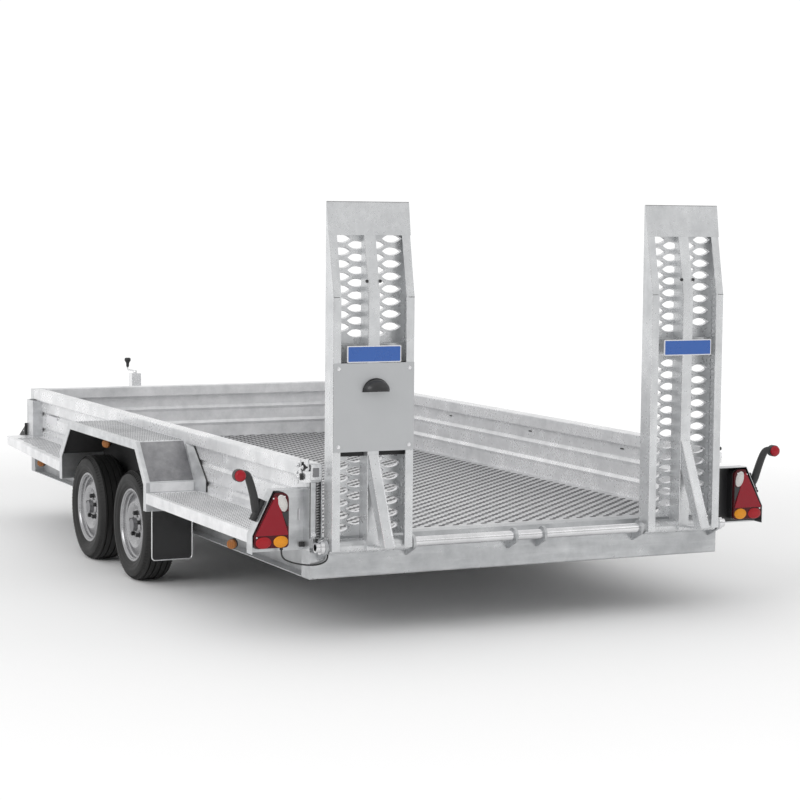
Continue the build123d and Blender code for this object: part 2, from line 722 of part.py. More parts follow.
# Number board and its lamp on the left ramp
board_back = ramp_back - board_sheet
add("number_board", block(board_back, ramp_back, ramp_inner, ramp_inner + board_size, board_low,
                          board_low + board_size))
plate_lamp_middle = ramp_middle - plate_lamp_side
plate_lamp_arc = ThreePointArc((board_back, plate_lamp_low),
                               (board_back - plate_lamp_depth, plate_lamp_low + plate_lamp_height / 2),
                               (board_back, plate_lamp_low + plate_lamp_height))
plate_lamp_face = make_face([plate_lamp_arc, Line(plate_lamp_arc @ 1, plate_lamp_arc @ 0)])
add("number_lamp", along_y(plate_lamp_face, plate_lamp_middle - plate_lamp_width / 2,
                           plate_lamp_middle + plate_lamp_width / 2))

# Drawbar: two box arms from the front beam to the nose
arm_dy = drawbar_rear_half - drawbar_front_half
arm_length = math.hypot(drawbar_length, arm_dy)
arm_angle = math.degrees(math.atan2(-arm_dy, drawbar_length))
arm_place = Pos((bed_length + drawbar_end) / 2, (drawbar_rear_half + drawbar_front_half) / 2,
                drawbar_low + drawbar_height / 2) * Rot(0, 0, arm_angle)
arm_spare = 4 * drawbar_thickness         # cut off again at both ends
arm_section = Rectangle(drawbar_thickness, drawbar_height)
arm_section -= Rectangle(drawbar_thickness - 2 * beam_wall, drawbar_height - 2 * beam_wall)
drawbar_arm = arm_place * along_x(arm_section, -(arm_length + arm_spare) / 2, (arm_length + arm_spare) / 2)
drawbar_arm &= block(bed_length, drawbar_end, 0, bed_outer, 0, wall_top)
add("drawbar_left", drawbar_arm)
add("drawbar_right", mirrored(drawbar_arm))

# Nose plate across the arms, with the jack's collar
nose_rear = drawbar_end - nose_length
nose_half_front = drawbar_front_half + drawbar_thickness / 2
nose_half_rear = nose_half_front + arm_dy * nose_length / drawbar_length
nose_face = outline([(nose_rear, -nose_half_rear), (drawbar_end, -nose_half_front), (drawbar_end, nose_half_front),
                     (nose_rear, nose_half_rear)])
collar_hole_size = jack_tube_size + 2 * seat_gap
collar_size = collar_hole_size + 2 * collar_wall
collar_hole = Pos(jack_x, jack_y) * Rectangle(collar_hole_size, collar_hole_size)
collar_face = Pos(jack_x, jack_y) * RectangleRounded(collar_size, collar_size, collar_wall / 2) - collar_hole
nose = along_z(nose_face - collar_hole, drawbar_low + drawbar_height, plate_top)
nose += along_z(collar_face, plate_top, plate_top + collar_height)
add("nose_plate", nose)

# Overrun housing, gaiter, coupling head and handbrake lever
housing_top = coupling_z + housing_cover
housing_face = Pos(0, (plate_top + housing_top) / 2) * RectangleRounded(housing_width, housing_top - plate_top,
                                                                       housing_corner)
add("overrun_housing", along_x(housing_face, housing_rear, housing_end))
ridge_step = gaiter_length / ridge_count
gaiter_profile = [(housing_end, 0)]
for number in range(ridge_count):
    ridge_start = housing_end + number * ridge_step
    gaiter_profile += [(ridge_start, gaiter_groove_radius), (ridge_start + ridge_step / 2, gaiter_ridge_radius)]
gaiter_profile += [(gaiter_end, gaiter_groove_radius), (gaiter_end, 0)]
add("gaiter", Pos(0, 0, coupling_z) * revolve(outline(gaiter_profile), Axis.X, 360))
head_low = coupling_z - head_half_height
head_face = outline([(gaiter_end, head_low), (gaiter_end, coupling_z + head_half_height),
                     (ball_x - head_end, coupling_z + head_half_height + head_crown),
                     (ball_x, coupling_z + head_half_height), (coupling_end, head_low + head_nose),
                     (coupling_end, head_low)])
head = along_y(head_face, -head_half_width, head_half_width)
head -= Pos(ball_x, 0, head_low) * Sphere(ball_radius)
handle_top = coupling_z + handle_rise
handle_face = folded([(gaiter_end + head_half_height, coupling_z + head_half_height),
                      (ball_x - head_half_width, handle_top - handle_thickness), (ball_x, handle_top)],
                     handle_thickness)
head += along_y(handle_face, -handle_half_width, handle_half_width)
add("coupling_head", head)
lever_x = housing_rear + lever_pivot_ahead
lever_outer = -housing_width / 2 - lever_thickness
lever_end = (lever_x + lever_length, coupling_z + lever_rise)
lever = rod((lever_x, -housing_width / 2, coupling_z), (lever_x, lever_outer, coupling_z), lever_boss_radius)
lever += along_y(folded([(lever_x, coupling_z), lever_end], lever_width), lever_outer, -housing_width / 2)
lever_grip_y = lever_outer + lever_thickness / 2 - lever_grip_radius
lever += rod((lever_end[0] - lever_width, lever_grip_y, lever_end[1]),
             (lever_end[0] + lever_grip_length, lever_grip_y, lever_end[1]), lever_grip_radius)
add("handbrake_lever", lever)

# Jack: outer tube in the collar with its crank, inner tube, fork and wheel
jack_outer = Pos(jack_x, jack_y) * Rectangle(jack_tube_size, jack_tube_size)
jack_bore_size = jack_tube_size - 2 * jack_tube_wall
jack_bore = Pos(jack_x, jack_y) * Rectangle(jack_bore_size, jack_bore_size)
jack_tube = along_z(jack_outer - jack_bore, jack_tube_low, jack_tube_top)
jack_tube += along_z(jack_bore, jack_tube_top - jack_lid, jack_tube_top)
add("jack_tube", jack_tube)
crank_z = jack_tube_top + crank_boss_height
crank_x = jack_x + crank_reach
crank_y = jack_y + crank_side
crank = rod((jack_x, jack_y, jack_tube_top), (jack_x, jack_y, crank_z + crank_radius), crank_boss_radius)
crank += rod((jack_x, jack_y, crank_z), (crank_x + crank_radius, crank_y, crank_z), crank_radius)
crank += rod((crank_x, crank_y, crank_z), (crank_x, crank_y, grip_low), crank_radius)
crank += rod((crank_x, crank_y, grip_low), (crank_x, crank_y, grip_high), grip_radius)
add("jack_crank", crank)
inner_low = fork_top + seat_gap
inner_high = jack_tube_top - jack_lid - jack_stroke - jack_end_gap
inner_size = jack_bore_size - 2 * jack_slide_gap
jack_leg = along_z(Pos(jack_x, jack_y) * Rectangle(inner_size, inner_size), inner_low, inner_high)
jack_leg -= rod((jack_x, jack_y, inner_low), (jack_x, jack_y, fork_top + swivel_height + seat_gap),
                swivel_radius + running_clearance)
add("jack_leg", jack_leg)
jack_wheel_x = jack_x - jack_trail
fork_inner = jack_wheel_width / 2 + fork_side_gap
fork_outer = fork_inner + fork_plate
fork_rear = jack_wheel_x - fork_half_length
fork_front = jack_x + fork_half_length
fork = block(fork_rear, fork_front, jack_y - fork_outer, jack_y + fork_outer, fork_top - fork_plate, fork_top)
fork_end_z = jack_wheel_radius - fork_end_drop
leg_face = outline([(fork_rear, fork_top - fork_plate), (fork_front, fork_top - fork_plate),
                    (jack_wheel_x + fork_end_half, fork_end_z), (jack_wheel_x - fork_end_half, fork_end_z)])
for leg_start in (jack_y - fork_outer, jack_y + fork_inner):
    fork += along_y(leg_face, leg_start, leg_start + fork_plate)
fork += rod((jack_wheel_x, jack_y - fork_outer, jack_wheel_radius), (jack_wheel_x, jack_y + fork_outer,
                                                                    jack_wheel_radius), axle_pin_radius)
fork += rod((jack_x, jack_y, fork_top - fork_plate), (jack_x, jack_y, fork_top + swivel_height), swivel_radius)
add("jack_fork", fork)
half_width = jack_wheel_width / 2
tread_half = half_width - fork_plate
jack_tyre_face = outline([(jack_rim_radius, -half_width), (jack_wheel_radius - fork_plate, -half_width),
                          (jack_wheel_radius, -tread_half), (jack_wheel_radius, tread_half),
                          (jack_wheel_radius - fork_plate, half_width), (jack_rim_radius, half_width)])
pin_bore = axle_pin_radius + running_clearance
jack_rim_half = [(pin_bore, half_width), (jack_hub_radius, half_width), (jack_hub_radius, jack_web_half),
                 (jack_rim_radius, jack_web_half)]
jack_rim_face = outline([(radius, -across) for radius, across in jack_rim_half] + jack_rim_half[::-1])
add("jack_tyre", turned(jack_tyre_face, jack_wheel_x, jack_y, jack_wheel_radius))
add("jack_rim", turned(jack_rim_face, jack_wheel_x, jack_y, jack_wheel_radius))

# Wheel chocks in holders on the front posts
chock_inner = wall_line - corner_inset - chock_inner_set_in + holder_margin
chock_outer = chock_inner + chock_width
shelf_top = holder_low + sheet
chock_rear = bed_length + sheet + seat_gap
chock_low = shelf_top + seat_gap
chock_top = chock_low + chock_height
chock_face = outline([(chock_rear, chock_low), (chock_rear + chock_length, chock_low),
                      (chock_rear + chock_length, chock_low + chock_toe), (chock_rear + chock_crown, chock_top),
                      (chock_rear, chock_top)])
chock = along_y(chock_face, chock_inner, chock_outer)
add("wheel_chocks", chock, mirrored(chock))
holder = block(bed_length, bed_length + sheet, chock_inner - holder_margin, chock_outer + holder_margin,
               holder_low, holder_low + holder_height)
holder += block(bed_length + sheet, bed_length + holder_shelf, chock_inner + holder_shelf_margin,
                chock_outer - holder_shelf_margin, holder_low, shelf_top)
add("chock_holders", holder, mirrored(holder))

# Lamp lead between its two glands; each bend's arc is as large as its two runs allow
lead_route = [(x, bed_half + across, z) for x, across, z in lead_bends]
runs = [Vector(*b) - Vector(*a) for a, b in zip(lead_route, lead_route[1:])]
radii = []
for before, after in zip(runs, runs[1:]):
    turn = math.radians(before.get_angle(after))
    radii.append(0.45 * min(before.length, after.length) / math.tan(turn / 2))
print("lead radii", [round(radius) for radius in radii])
lead_path = FilletPolyline(*lead_route, radius=radii)
lead_start = Plane(origin=lead_route[0], z_dir=runs[0])
lead = sweep(lead_start * Circle(lead_radius), lead_path)
add("lamp_lead", lead)
print("lead length", lead_path.length, "volume", lead.volume, "of", math.pi * lead_radius ** 2 * lead_path.length)
lead_x, lead_y, lead_z = lead_route[-1]
lamp_gland = rod(lead_route[0], (*lead_route[0][:2], lamp_low), gland_radius)
beam_gland = rod(lead_route[-1], (lead_x, lead_y, lead_z + gland_height), gland_radius)
beam_gland += block(lead_x, 0, lead_y - gland_radius, lead_y + gland_radius, lead_z, lead_z + gland_height)
add("lead_glands", lamp_gland, beam_gland)

os.makedirs("parts", exist_ok=True)
for name, shape in pieces.items():
    export_step(Pos(-origin_x, 0, 0) * shape, "parts/" + name + ".step")
print(len(pieces), "pieces, origin at", origin_x, "ahead of the rear beam")
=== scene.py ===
# Plant trailer with two upright perforated ramps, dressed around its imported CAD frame.
# Metres, +X forward, +Y left, +Z up. X values below are measured from the rear beam's rear face.
import bpy
import bmesh
import math
from mathutils import Matrix, Vector


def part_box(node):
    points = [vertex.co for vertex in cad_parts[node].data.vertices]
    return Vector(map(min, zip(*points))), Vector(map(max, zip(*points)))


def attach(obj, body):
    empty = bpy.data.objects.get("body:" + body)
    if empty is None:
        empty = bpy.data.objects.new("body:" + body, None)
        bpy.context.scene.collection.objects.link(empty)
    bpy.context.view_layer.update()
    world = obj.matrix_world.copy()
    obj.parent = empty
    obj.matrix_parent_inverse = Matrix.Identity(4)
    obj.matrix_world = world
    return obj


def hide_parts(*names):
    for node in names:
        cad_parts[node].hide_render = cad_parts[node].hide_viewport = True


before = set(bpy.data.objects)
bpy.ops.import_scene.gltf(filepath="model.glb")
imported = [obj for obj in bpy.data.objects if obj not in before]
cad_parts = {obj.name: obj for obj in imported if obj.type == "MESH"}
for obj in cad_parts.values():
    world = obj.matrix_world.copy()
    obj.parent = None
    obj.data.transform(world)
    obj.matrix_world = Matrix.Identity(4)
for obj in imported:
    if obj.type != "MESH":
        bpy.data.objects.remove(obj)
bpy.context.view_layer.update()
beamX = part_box("lamp_plates")[0].x  # the lamp plates start level with the rear beam's face
sides = {"left": 1, "right": -1}
print("frame loaded:", len(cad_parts), "nodes")


# Camera and lamp lead

cameraView = {
    "place": (-8.0505, 4.4464, 1.7427),
    "yaw": -0.4472,
    "pitch": -0.0852,
    "roll": 0.0095,
    "lens": 97.58,
    "sensor": 36,
}


def fromBeam(point):
    return Vector((point[0] + beamX, point[1], point[2]))


def makeCamera():
    yaw, pitch, roll = cameraView["yaw"], cameraView["pitch"], cameraView["roll"]
    ahead = Vector((math.cos(yaw) * math.cos(pitch), math.sin(yaw) * math.cos(pitch), math.sin(pitch)))
    level = ahead.cross(Vector((0, 0, 1))).normalized()
    upright = level.cross(ahead)
    right = level * math.cos(roll) + upright * math.sin(roll)
    up = upright * math.cos(roll) - level * math.sin(roll)
    data = bpy.data.cameras.new("camera")
    data.lens = cameraView["lens"]
    data.sensor_width = cameraView["sensor"]
    camera = bpy.data.objects.new("camera", data)
    bpy.context.collection.objects.link(camera)
    turn = Matrix((right, up, -ahead)).transposed().to_4x4()
    camera.matrix_world = Matrix.Translation(fromBeam(cameraView["place"])) @ turn
    bpy.context.scene.camera = camera


makeCamera()

lampLead = {
    "route": [(0.03, 1.1, 0.38), (0.03, 1.1, 0.358), (0.027, 1.087, 0.34), (0.017, 1.06, 0.328),
              (0.001, 1.024, 0.32), (-0.012, 0.984, 0.316), (-0.014, 0.95, 0.318), (-0.013, 0.924, 0.327),
              (-0.012, 0.912, 0.341), (-0.012, 0.912, 0.359)],
    "radius": 0.0035,
    "length": 0.2533,
    "around": 4,
    "along": 24,
}


def makeLampLead():
    data = bpy.data.curves.new("lampLead", "CURVE")
    data.dimensions = "3D"
    data.bevel_depth = 1.0  # each control point's radius gives the real one
    data.bevel_resolution = lampLead["around"]
    data.resolution_u = lampLead["along"]
    data.use_fill_caps = True
    spline = data.splines.new("NURBS")
    spline.points.add(len(lampLead["route"]) - 1)
    for control, point in zip(spline.points, lampLead["route"]):
        control.co = (*fromBeam(point), 1)
        control.radius = lampLead["radius"]
    spline.order_u = 3
    spline.use_endpoint_u = True
    lead = bpy.data.objects.new("lampLead", data)
    bpy.context.collection.objects.link(lead)
    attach(lead, "trailer")
    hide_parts("lamp_lead")
    return lead


leadPiece = makeLampLead()
print("camera and lamp lead made")


# Shader groups shared by the materials

def newGroup(name, inputs, outputs):
    # Each input's value tells the kind of its socket
    group = bpy.data.node_groups.new(name, "ShaderNodeTree")
    for label, value in inputs.items():
        size = len(value) if isinstance(value, tuple) else 1
        kind = {1: "NodeSocketFloat", 3: "NodeSocketVector", 4: "NodeSocketColor"}[size]
        group.interface.new_socket(name=label, in_out="INPUT", socket_type=kind).default_value = value
    for label in outputs:
        kind = "NodeSocketColor" if label == "Colour" else "NodeSocketFloat"
        group.interface.new_socket(name=label, in_out="OUTPUT", socket_type=kind)
    return group, group.nodes.new("NodeGroupInput"), group.nodes.new("NodeGroupOutput")


def addNode(tree, kind, **settings):
    made = tree.nodes.new(kind)
    for key, value in settings.items():
        setattr(made, key, value)
    return made


def feed(tree, socket, value):
    # Numbers and colours are set on the socket itself; the output of a node is linked to it
    if isinstance(value, (int, float)):
        socket.default_value = value
    elif isinstance(value, tuple):
        socket.default_value = (*value, 1)
    else:
        tree.links.new(value, socket)


def calc(tree, operation, *values, clamp=False):
    made = addNode(tree, "ShaderNodeMath", operation=operation, use_clamp=clamp)
    for socket, value in zip(made.inputs, values):
        feed(tree, socket, value)
    return made.outputs[0]


def mixColour(tree, factor, first, second):
    made = addNode(tree, "ShaderNodeMix", data_type="RGBA")
    for index, value in ((0, factor), (6, first), (7, second)):
        feed(tree, made.inputs[index], value)
    return made.outputs[2]


def noise(tree, vector, scale, detail, roughness=0.55):
    made = addNode(tree, "ShaderNodeTexNoise")
    for label, value in (("Vector", vector), ("Scale", scale), ("Detail", detail), ("Roughness", roughness)):
        feed(tree, made.inputs[label], value)
    return made.outputs["Fac"]


def objectPlace(tree):
    return addNode(tree, "ShaderNodeTexCoord").outputs["Object"]


def makeZincGroup():
    # Hot-dip zinc: crystal cells, clouds where it cooled, and a fine orange peel
    group, inlet, outlet = newGroup(
        "zincBloom", {"Crystals": 90, "Crystal Depth": 0.12, "Cloud Depth": 0.5, "Rough": 0.4,
                      "Dark": (0.3, 0.31, 0.32, 1), "Light": (0.7, 0.71, 0.72, 1)},
        ["Colour", "Roughness", "Height"])
    where = objectPlace(group)
    cells = addNode(group, "ShaderNodeTexVoronoi")
    feed(group, cells.inputs["Vector"], where)
    feed(group, cells.inputs["Scale"], inlet.outputs["Crystals"])
    parts = addNode(group, "ShaderNodeSeparateColor")
    feed(group, parts.inputs[0], cells.outputs["Color"])
    cell = parts.outputs[0]
    cloud = noise(group, where, 3.2, 6)
    patch = noise(group, where, 12, 5, 0.58)
    peel = noise(group, where, 160, 2)
    crystalTone = calc(group, "MULTIPLY", calc(group, "SUBTRACT", cell, 0.5), inlet.outputs["Crystal Depth"])
    blend = calc(group, "ADD", calc(group, "MULTIPLY", cloud, 0.5), calc(group, "MULTIPLY", patch, 0.5))
    spread = calc(group, "MULTIPLY", calc(group, "SUBTRACT", blend, 0.5), 3.2)
    cloudTone = calc(group, "MULTIPLY", spread, inlet.outputs["Cloud Depth"])
    tone = calc(group, "ADD", calc(group, "ADD", cloudTone, crystalTone), 0.6, clamp=True)
    colour = mixColour(group, tone, inlet.outputs["Dark"], inlet.outputs["Light"])
    rough = calc(group, "ADD", inlet.outputs["Rough"], calc(group, "MULTIPLY", crystalTone, 0.9))
    rough = calc(group, "SUBTRACT", rough, calc(group, "MULTIPLY", cloudTone, 0.12), clamp=True)
    height = calc(group, "ADD", calc(group, "MULTIPLY", cell, 0.25), calc(group, "MULTIPLY", peel, 0.5))
    feed(group, outlet.inputs["Colour"], colour)
    feed(group, outlet.inputs["Roughness"], rough)
    feed(group, outlet.inputs["Height"], calc(group, "ADD", height, patch))
    return group


def makeRunsGroup():
    # Pale and dark runs of zinc or water, drawn out along one axis
    group, inlet, outlet = newGroup("zincRuns", {"Stretch": (1, 1, 0.1), "Strength": 0.2}, ["Mask"])
    scaled = addNode(group, "ShaderNodeVectorMath", operation="MULTIPLY")
    feed(group, scaled.inputs[0], objectPlace(group))
    feed(group, scaled.inputs[1], inlet.outputs["Stretch"])
    lines = noise(group, scaled.outputs[0], 34, 3)
    sharp = calc(group, "MULTIPLY", calc(group, "SUBTRACT", lines, 0.47), 4, clamp=True)
    feed(group, outlet.inputs["Mask"], calc(group, "MULTIPLY", sharp, inlet.outputs["Strength"]))
    return group


def makeDustGroup():
    # Pale road dust that thins out with height above the floor
    group, inlet, outlet = newGroup("roadDust", {"Top": 0.5, "Amount": 0.3}, ["Mask"])
    where = objectPlace(group)
    split = addNode(group, "ShaderNodeSeparateXYZ")
    feed(group, split.inputs[0], where)
    fade = calc(group, "DIVIDE", split.outputs[2], inlet.outputs["Top"])
    fade = calc(group, "SUBTRACT", 1, fade, clamp=True)
    spots = calc(group, "MULTIPLY", noise(group, where, 21, 5), 1.2)
    mask = calc(group, "MULTIPLY", calc(group, "MULTIPLY", fade, spots), inlet.outputs["Amount"], clamp=True)
    feed(group, outlet.inputs["Mask"], mask)
    return group


def makeMouldedGroup():
    # Moulded rubber and plastic: slight tone change and a fine grain
    group, inlet, outlet = newGroup(
        "mouldedGrain", {"Grain": 400, "Rough": 0.5, "Dark": (0.01, 0.01, 0.01, 1),
                         "Light": (0.03, 0.03, 0.03, 1)},
        ["Colour", "Roughness", "Height"])
    where = objectPlace(group)
    fine = noise(group, where, inlet.outputs["Grain"], 3)
    broad = noise(group, where, 12, 4)
    tone = calc(group, "MULTIPLY_ADD", fine, 0.4, calc(group, "MULTIPLY", broad, 0.6), clamp=True)
    change = calc(group, "MULTIPLY", calc(group, "SUBTRACT", broad, 0.5), 0.3)
    rough = calc(group, "ADD", inlet.outputs["Rough"], change, clamp=True)
    colour = mixColour(group, tone, inlet.outputs["Dark"], inlet.outputs["Light"])
    feed(group, outlet.inputs["Colour"], colour)
    feed(group, outlet.inputs["Roughness"], rough)
    feed(group, outlet.inputs["Height"], fine)
    return group


zincBloom = makeZincGroup()
zincRuns = makeRunsGroup()
roadDust = makeDustGroup()
mouldedGrain = makeMouldedGroup()
print("shader groups made")


# Materials

coverColours = {"runs": (0.86, 0.87, 0.88), "zincDust": (0.42, 0.4, 0.37), "mouldedDust": (0.22, 0.21, 0.19)}


def placeGroup(tree, group, values):
    made = addNode(tree, "ShaderNodeGroup", node_tree=group)
    for label, value in values.items():
        made.inputs[label].default_value = (*value, 1) if label in ("Dark", "Light") else value
    return made


def newMaterial(name, settings):
    material = bpy.data.materials.new(name)
    material.use_nodes = True
    shader = material.node_tree.nodes["Principled BSDF"]
    for label, value in settings.items():
        shader.inputs[label].default_value = value
    return material, material.node_tree, shader


def addBump(tree, shader, height, distance, strength=1.0):
    bump = addNode(tree, "ShaderNodeBump")
    for label, value in (("Distance", distance), ("Strength", strength), ("Height", height)):
        feed(tree, bump.inputs[label], value)
    feed(tree, shader.inputs["Normal"], bump.outputs[0])


def makeCoated(name, group, tones, covers, settings, bumpDepth):
    # A material from a shared group, with runs or dust mixed over its colour
    material, tree, shader = newMaterial(name, settings)
    base = placeGroup(tree, group, tones)
    colour = base.outputs["Colour"]
    for cover, values, paint in covers:
        if values:
            mask = placeGroup(tree, cover, values).outputs["Mask"]
            colour = mixColour(tree, mask, colour, coverColours[paint])
    feed(tree, shader.inputs["Base Color"], colour)
    feed(tree, shader.inputs["Roughness"], base.outputs["Roughness"])
    addBump(tree, shader, base.outputs["Height"], bumpDepth)
    return material


def makeZinc(name, crystals, crystalDepth, cloudDepth, rough, dark, light, metallic, runs=None, dust=None,
             bumpDepth=0.0003):
    tones = {"Crystals": crystals, "Crystal Depth": crystalDepth, "Cloud Depth": cloudDepth, "Rough": rough,
             "Dark": dark, "Light": light}
    covers = ((zincRuns, runs, "runs"), (roadDust, dust, "zincDust"))
    return makeCoated(name, zincBloom, tones, covers, {"Metallic": metallic}, bumpDepth)


def makeMoulded(name, grain, rough, dark, light, settings=None, dust=None, bumpDepth=0.0002):
    tones = {"Grain": grain, "Rough": rough, "Dark": dark, "Light": light}
    covers = ((roadDust, dust, "mouldedDust"),)
    return makeCoated(name, mouldedGrain, tones, covers, settings or {}, bumpDepth)


def makeLens(name, deep, bright, prisms):
    # Lamp glass: small moulded prisms behind a glossy skin
    material, tree, shader = newMaterial(name, {"Specular IOR Level": 0.25, "Coat Weight": 0.2,
                                                "Coat Roughness": 0.04, "Roughness": 0.3})
    cells = addNode(tree, "ShaderNodeTexVoronoi", distance="CHEBYCHEV")
    for label, value in (("Vector", objectPlace(tree)), ("Scale", prisms), ("Randomness", 0.15)):
        feed(tree, cells.inputs[label], value)
    tone = calc(tree, "MULTIPLY", cells.outputs["Distance"], 1.5, clamp=True)
    feed(tree, shader.inputs["Base Color"], mixColour(tree, tone, deep, bright))
    addBump(tree, shader, cells.outputs["Distance"], 0.0015, 0.6)
    return material


zincLooks = {
    # Crystals per metre and their depth, cloud depth, roughness, dark tone, light tone, metallic
    "sheetZinc": (85, 0.08, 0.6, 0.34, (0.3, 0.31, 0.32), (0.78, 0.79, 0.8), 0.8),
    # Painted shade: a much darker copy of the sheet zinc, for the wings' rear slopes
    "slopeShadeZinc": (85, 0.08, 0.7, 0.4, (0.08, 0.08, 0.09), (0.38, 0.38, 0.39), 0.8),
    "boardZinc": (85, 0.08, 0.7, 0.36, (0.58, 0.59, 0.6), (0.96, 0.96, 0.97), 0.3),
    "wallZinc": (110, 0.06, 0.7, 0.3, (0.56, 0.57, 0.58), (0.95, 0.95, 0.96), 0.42),
    "deckZinc": (140, 0.08, 0.5, 0.34, (0.44, 0.44, 0.45), (0.72, 0.72, 0.73), 0.75),
    # Painted shade: dark zinc for the deck's raised dashes
    "dashShadeZinc": (200, 0.08, 0.4, 0.4, (0.05, 0.05, 0.055), (0.16, 0.16, 0.165), 0.7),
    "beamZinc": (90, 0.08, 0.6, 0.32, (0.3, 0.31, 0.32), (0.6, 0.61, 0.62), 0.8),
    "tubeZinc": (120, 0.05, 0.5, 0.16, (0.5, 0.5, 0.51), (0.92, 0.92, 0.93), 1.0),
    # Painted shade: darker zinc for the raised dots on wings and boards
    "dotShadeZinc": (200, 0.08, 0.5, 0.4, (0.14, 0.14, 0.15), (0.38, 0.38, 0.39), 0.8),
    "rampZinc": (90, 0.08, 0.5, 0.3, (0.44, 0.45, 0.46), (0.8, 0.81, 0.82), 0.6),
    "chassisZinc": (60, 0.16, 0.5, 0.5, (0.34, 0.35, 0.36), (0.66, 0.67, 0.68), 0.6),
    "brightZinc": (200, 0.1, 0.3, 0.24, (0.55, 0.56, 0.57), (0.95, 0.95, 0.96), 0.9),
    "springSteel": (260, 0.08, 0.4, 0.35, (0.22, 0.22, 0.22), (0.5, 0.5, 0.51), 0.9),
    "boardMetal": (150, 0.03, 0.12, 0.5, (0.42, 0.43, 0.44), (0.58, 0.59, 0.6), 0.6),
    "wheelSilver": (500, 0.05, 0.1, 0.28, (0.24, 0.24, 0.25), (0.5, 0.5, 0.51), 0.85),
    "castIron": (300, 0.1, 0.3, 0.5, (0.14, 0.14, 0.15), (0.3, 0.3, 0.31), 0.6),
}
zincExtras = {
    "sheetZinc": {"runs": {"Stretch": (0.15, 0.15, 1), "Strength": 0.3}},
    "wallZinc": {"runs": {"Stretch": (1, 1, 0.12), "Strength": 0.3}},
    "beamZinc": {"runs": {"Stretch": (1, 0.12, 1), "Strength": 0.25}},
    "rampZinc": {"runs": {"Stretch": (1, 1, 0.12), "Strength": 0.18}},
    "chassisZinc": {"dust": {"Top": 0.45, "Amount": 0.35}},
    "springSteel": {"bumpDepth": 0.0002},
    "boardMetal": {"bumpDepth": 0.0001},
    "wheelSilver": {"dust": {"Top": 0.4, "Amount": 0.12}, "bumpDepth": 0.0001},
}
mouldedLooks = {
    # Grains per metre, roughness, dark tone, light tone
    "tyreRubber": (300, 0.62, (0.004, 0.004, 0.004), (0.012, 0.012, 0.012)),
    "blackRubber": (260, 0.45, (0.012, 0.012, 0.012), (0.032, 0.032, 0.034)),
    "blackPlastic": (500, 0.32, (0.01, 0.01, 0.011), (0.025, 0.025, 0.027)),
    # Painted shade under the wings and in the lashing slots; the same dark plastic for the ramp seams and the
    # board's pad
    "darkPlasticAndShade": (120, 0.75, (0.02, 0.02, 0.021), (0.04, 0.04, 0.041)),
    "chockPlastic": (300, 0.5, (0.01, 0.01, 0.01), (0.03, 0.03, 0.03)),
    "plateBlue": (700, 0.3, (0.01, 0.085, 0.36), (0.014, 0.11, 0.44)),
    "plateWhite": (700, 0.4, (0.72, 0.72, 0.74), (0.84, 0.84, 0.86)),
    "lampBody": (500, 0.25, (0.055, 0.002, 0.005), (0.09, 0.004, 0.008)),
}
mouldedExtras = {
    "tyreRubber": {"dust": {"Top": 0.5, "Amount": 0.05}},
    "blackPlastic": {"settings": {"Coat Weight": 0.2, "Coat Roughness": 0.2}},
    "darkPlasticAndShade": {"dust": {"Top": 0.5, "Amount": 0.1}},
    "plateBlue": {"settings": {"Coat Weight": 0.5}},
    "lampBody": {"settings": {"Specular IOR Level": 0.2, "Coat Weight": 0.15}},
}
lensLooks = {
    # Deep tone, bright tone, prisms per metre
    "redLens": ((0.24, 0.002, 0.008), (0.42, 0.006, 0.018), 220),
    "redReflector": ((0.21, 0.002, 0.01), (0.34, 0.005, 0.018), 420),
    "darkRedLens": ((0.16, 0.002, 0.005), (0.55, 0.01, 0.02), 220),
    "amberLens": ((0.55, 0.16, 0.004), (0.95, 0.4, 0.015), 220),
    "dullAmber": ((0.16, 0.05, 0.01), (0.42, 0.16, 0.035), 150),
    "clearLens": ((0.3, 0.28, 0.27), (0.95, 0.93, 0.9), 220),
}
materials = {}
for looks, extras, make in ((zincLooks, zincExtras, makeZinc), (mouldedLooks, mouldedExtras, makeMoulded),
                            (lensLooks, {}, makeLens)):
    for name, look in looks.items():
        materials[name] = make(name, *look, **extras.get(name, {}))
leadPiece.data.materials.append(materials["blackRubber"])

# Slot names by finish; every other finish is galvanised steel unless the piece names its own. makePiece works
# the slot out but keeps it nowhere
finishSlots = dict.fromkeys(("lampBody", *lensLooks), "lamp_plastic")
finishSlots |= dict.fromkeys(("blackRubber", "blackPlastic", "darkPlasticAndShade"), "black_rubber")
finishSlots |= dict.fromkeys(("plateBlue", "plateWhite"), "board_aluminium")
finishSlots |= {"dullAmber": "amber_plastic", "tyreRubber": "tyre_rubber", "wheelSilver": "wheel_silver"}


def onSides(*labels):
    return [label + "_" + side for label in labels for side in sides]


def atCorners(label):
    return onSides(label + "_front", label + "_rear")


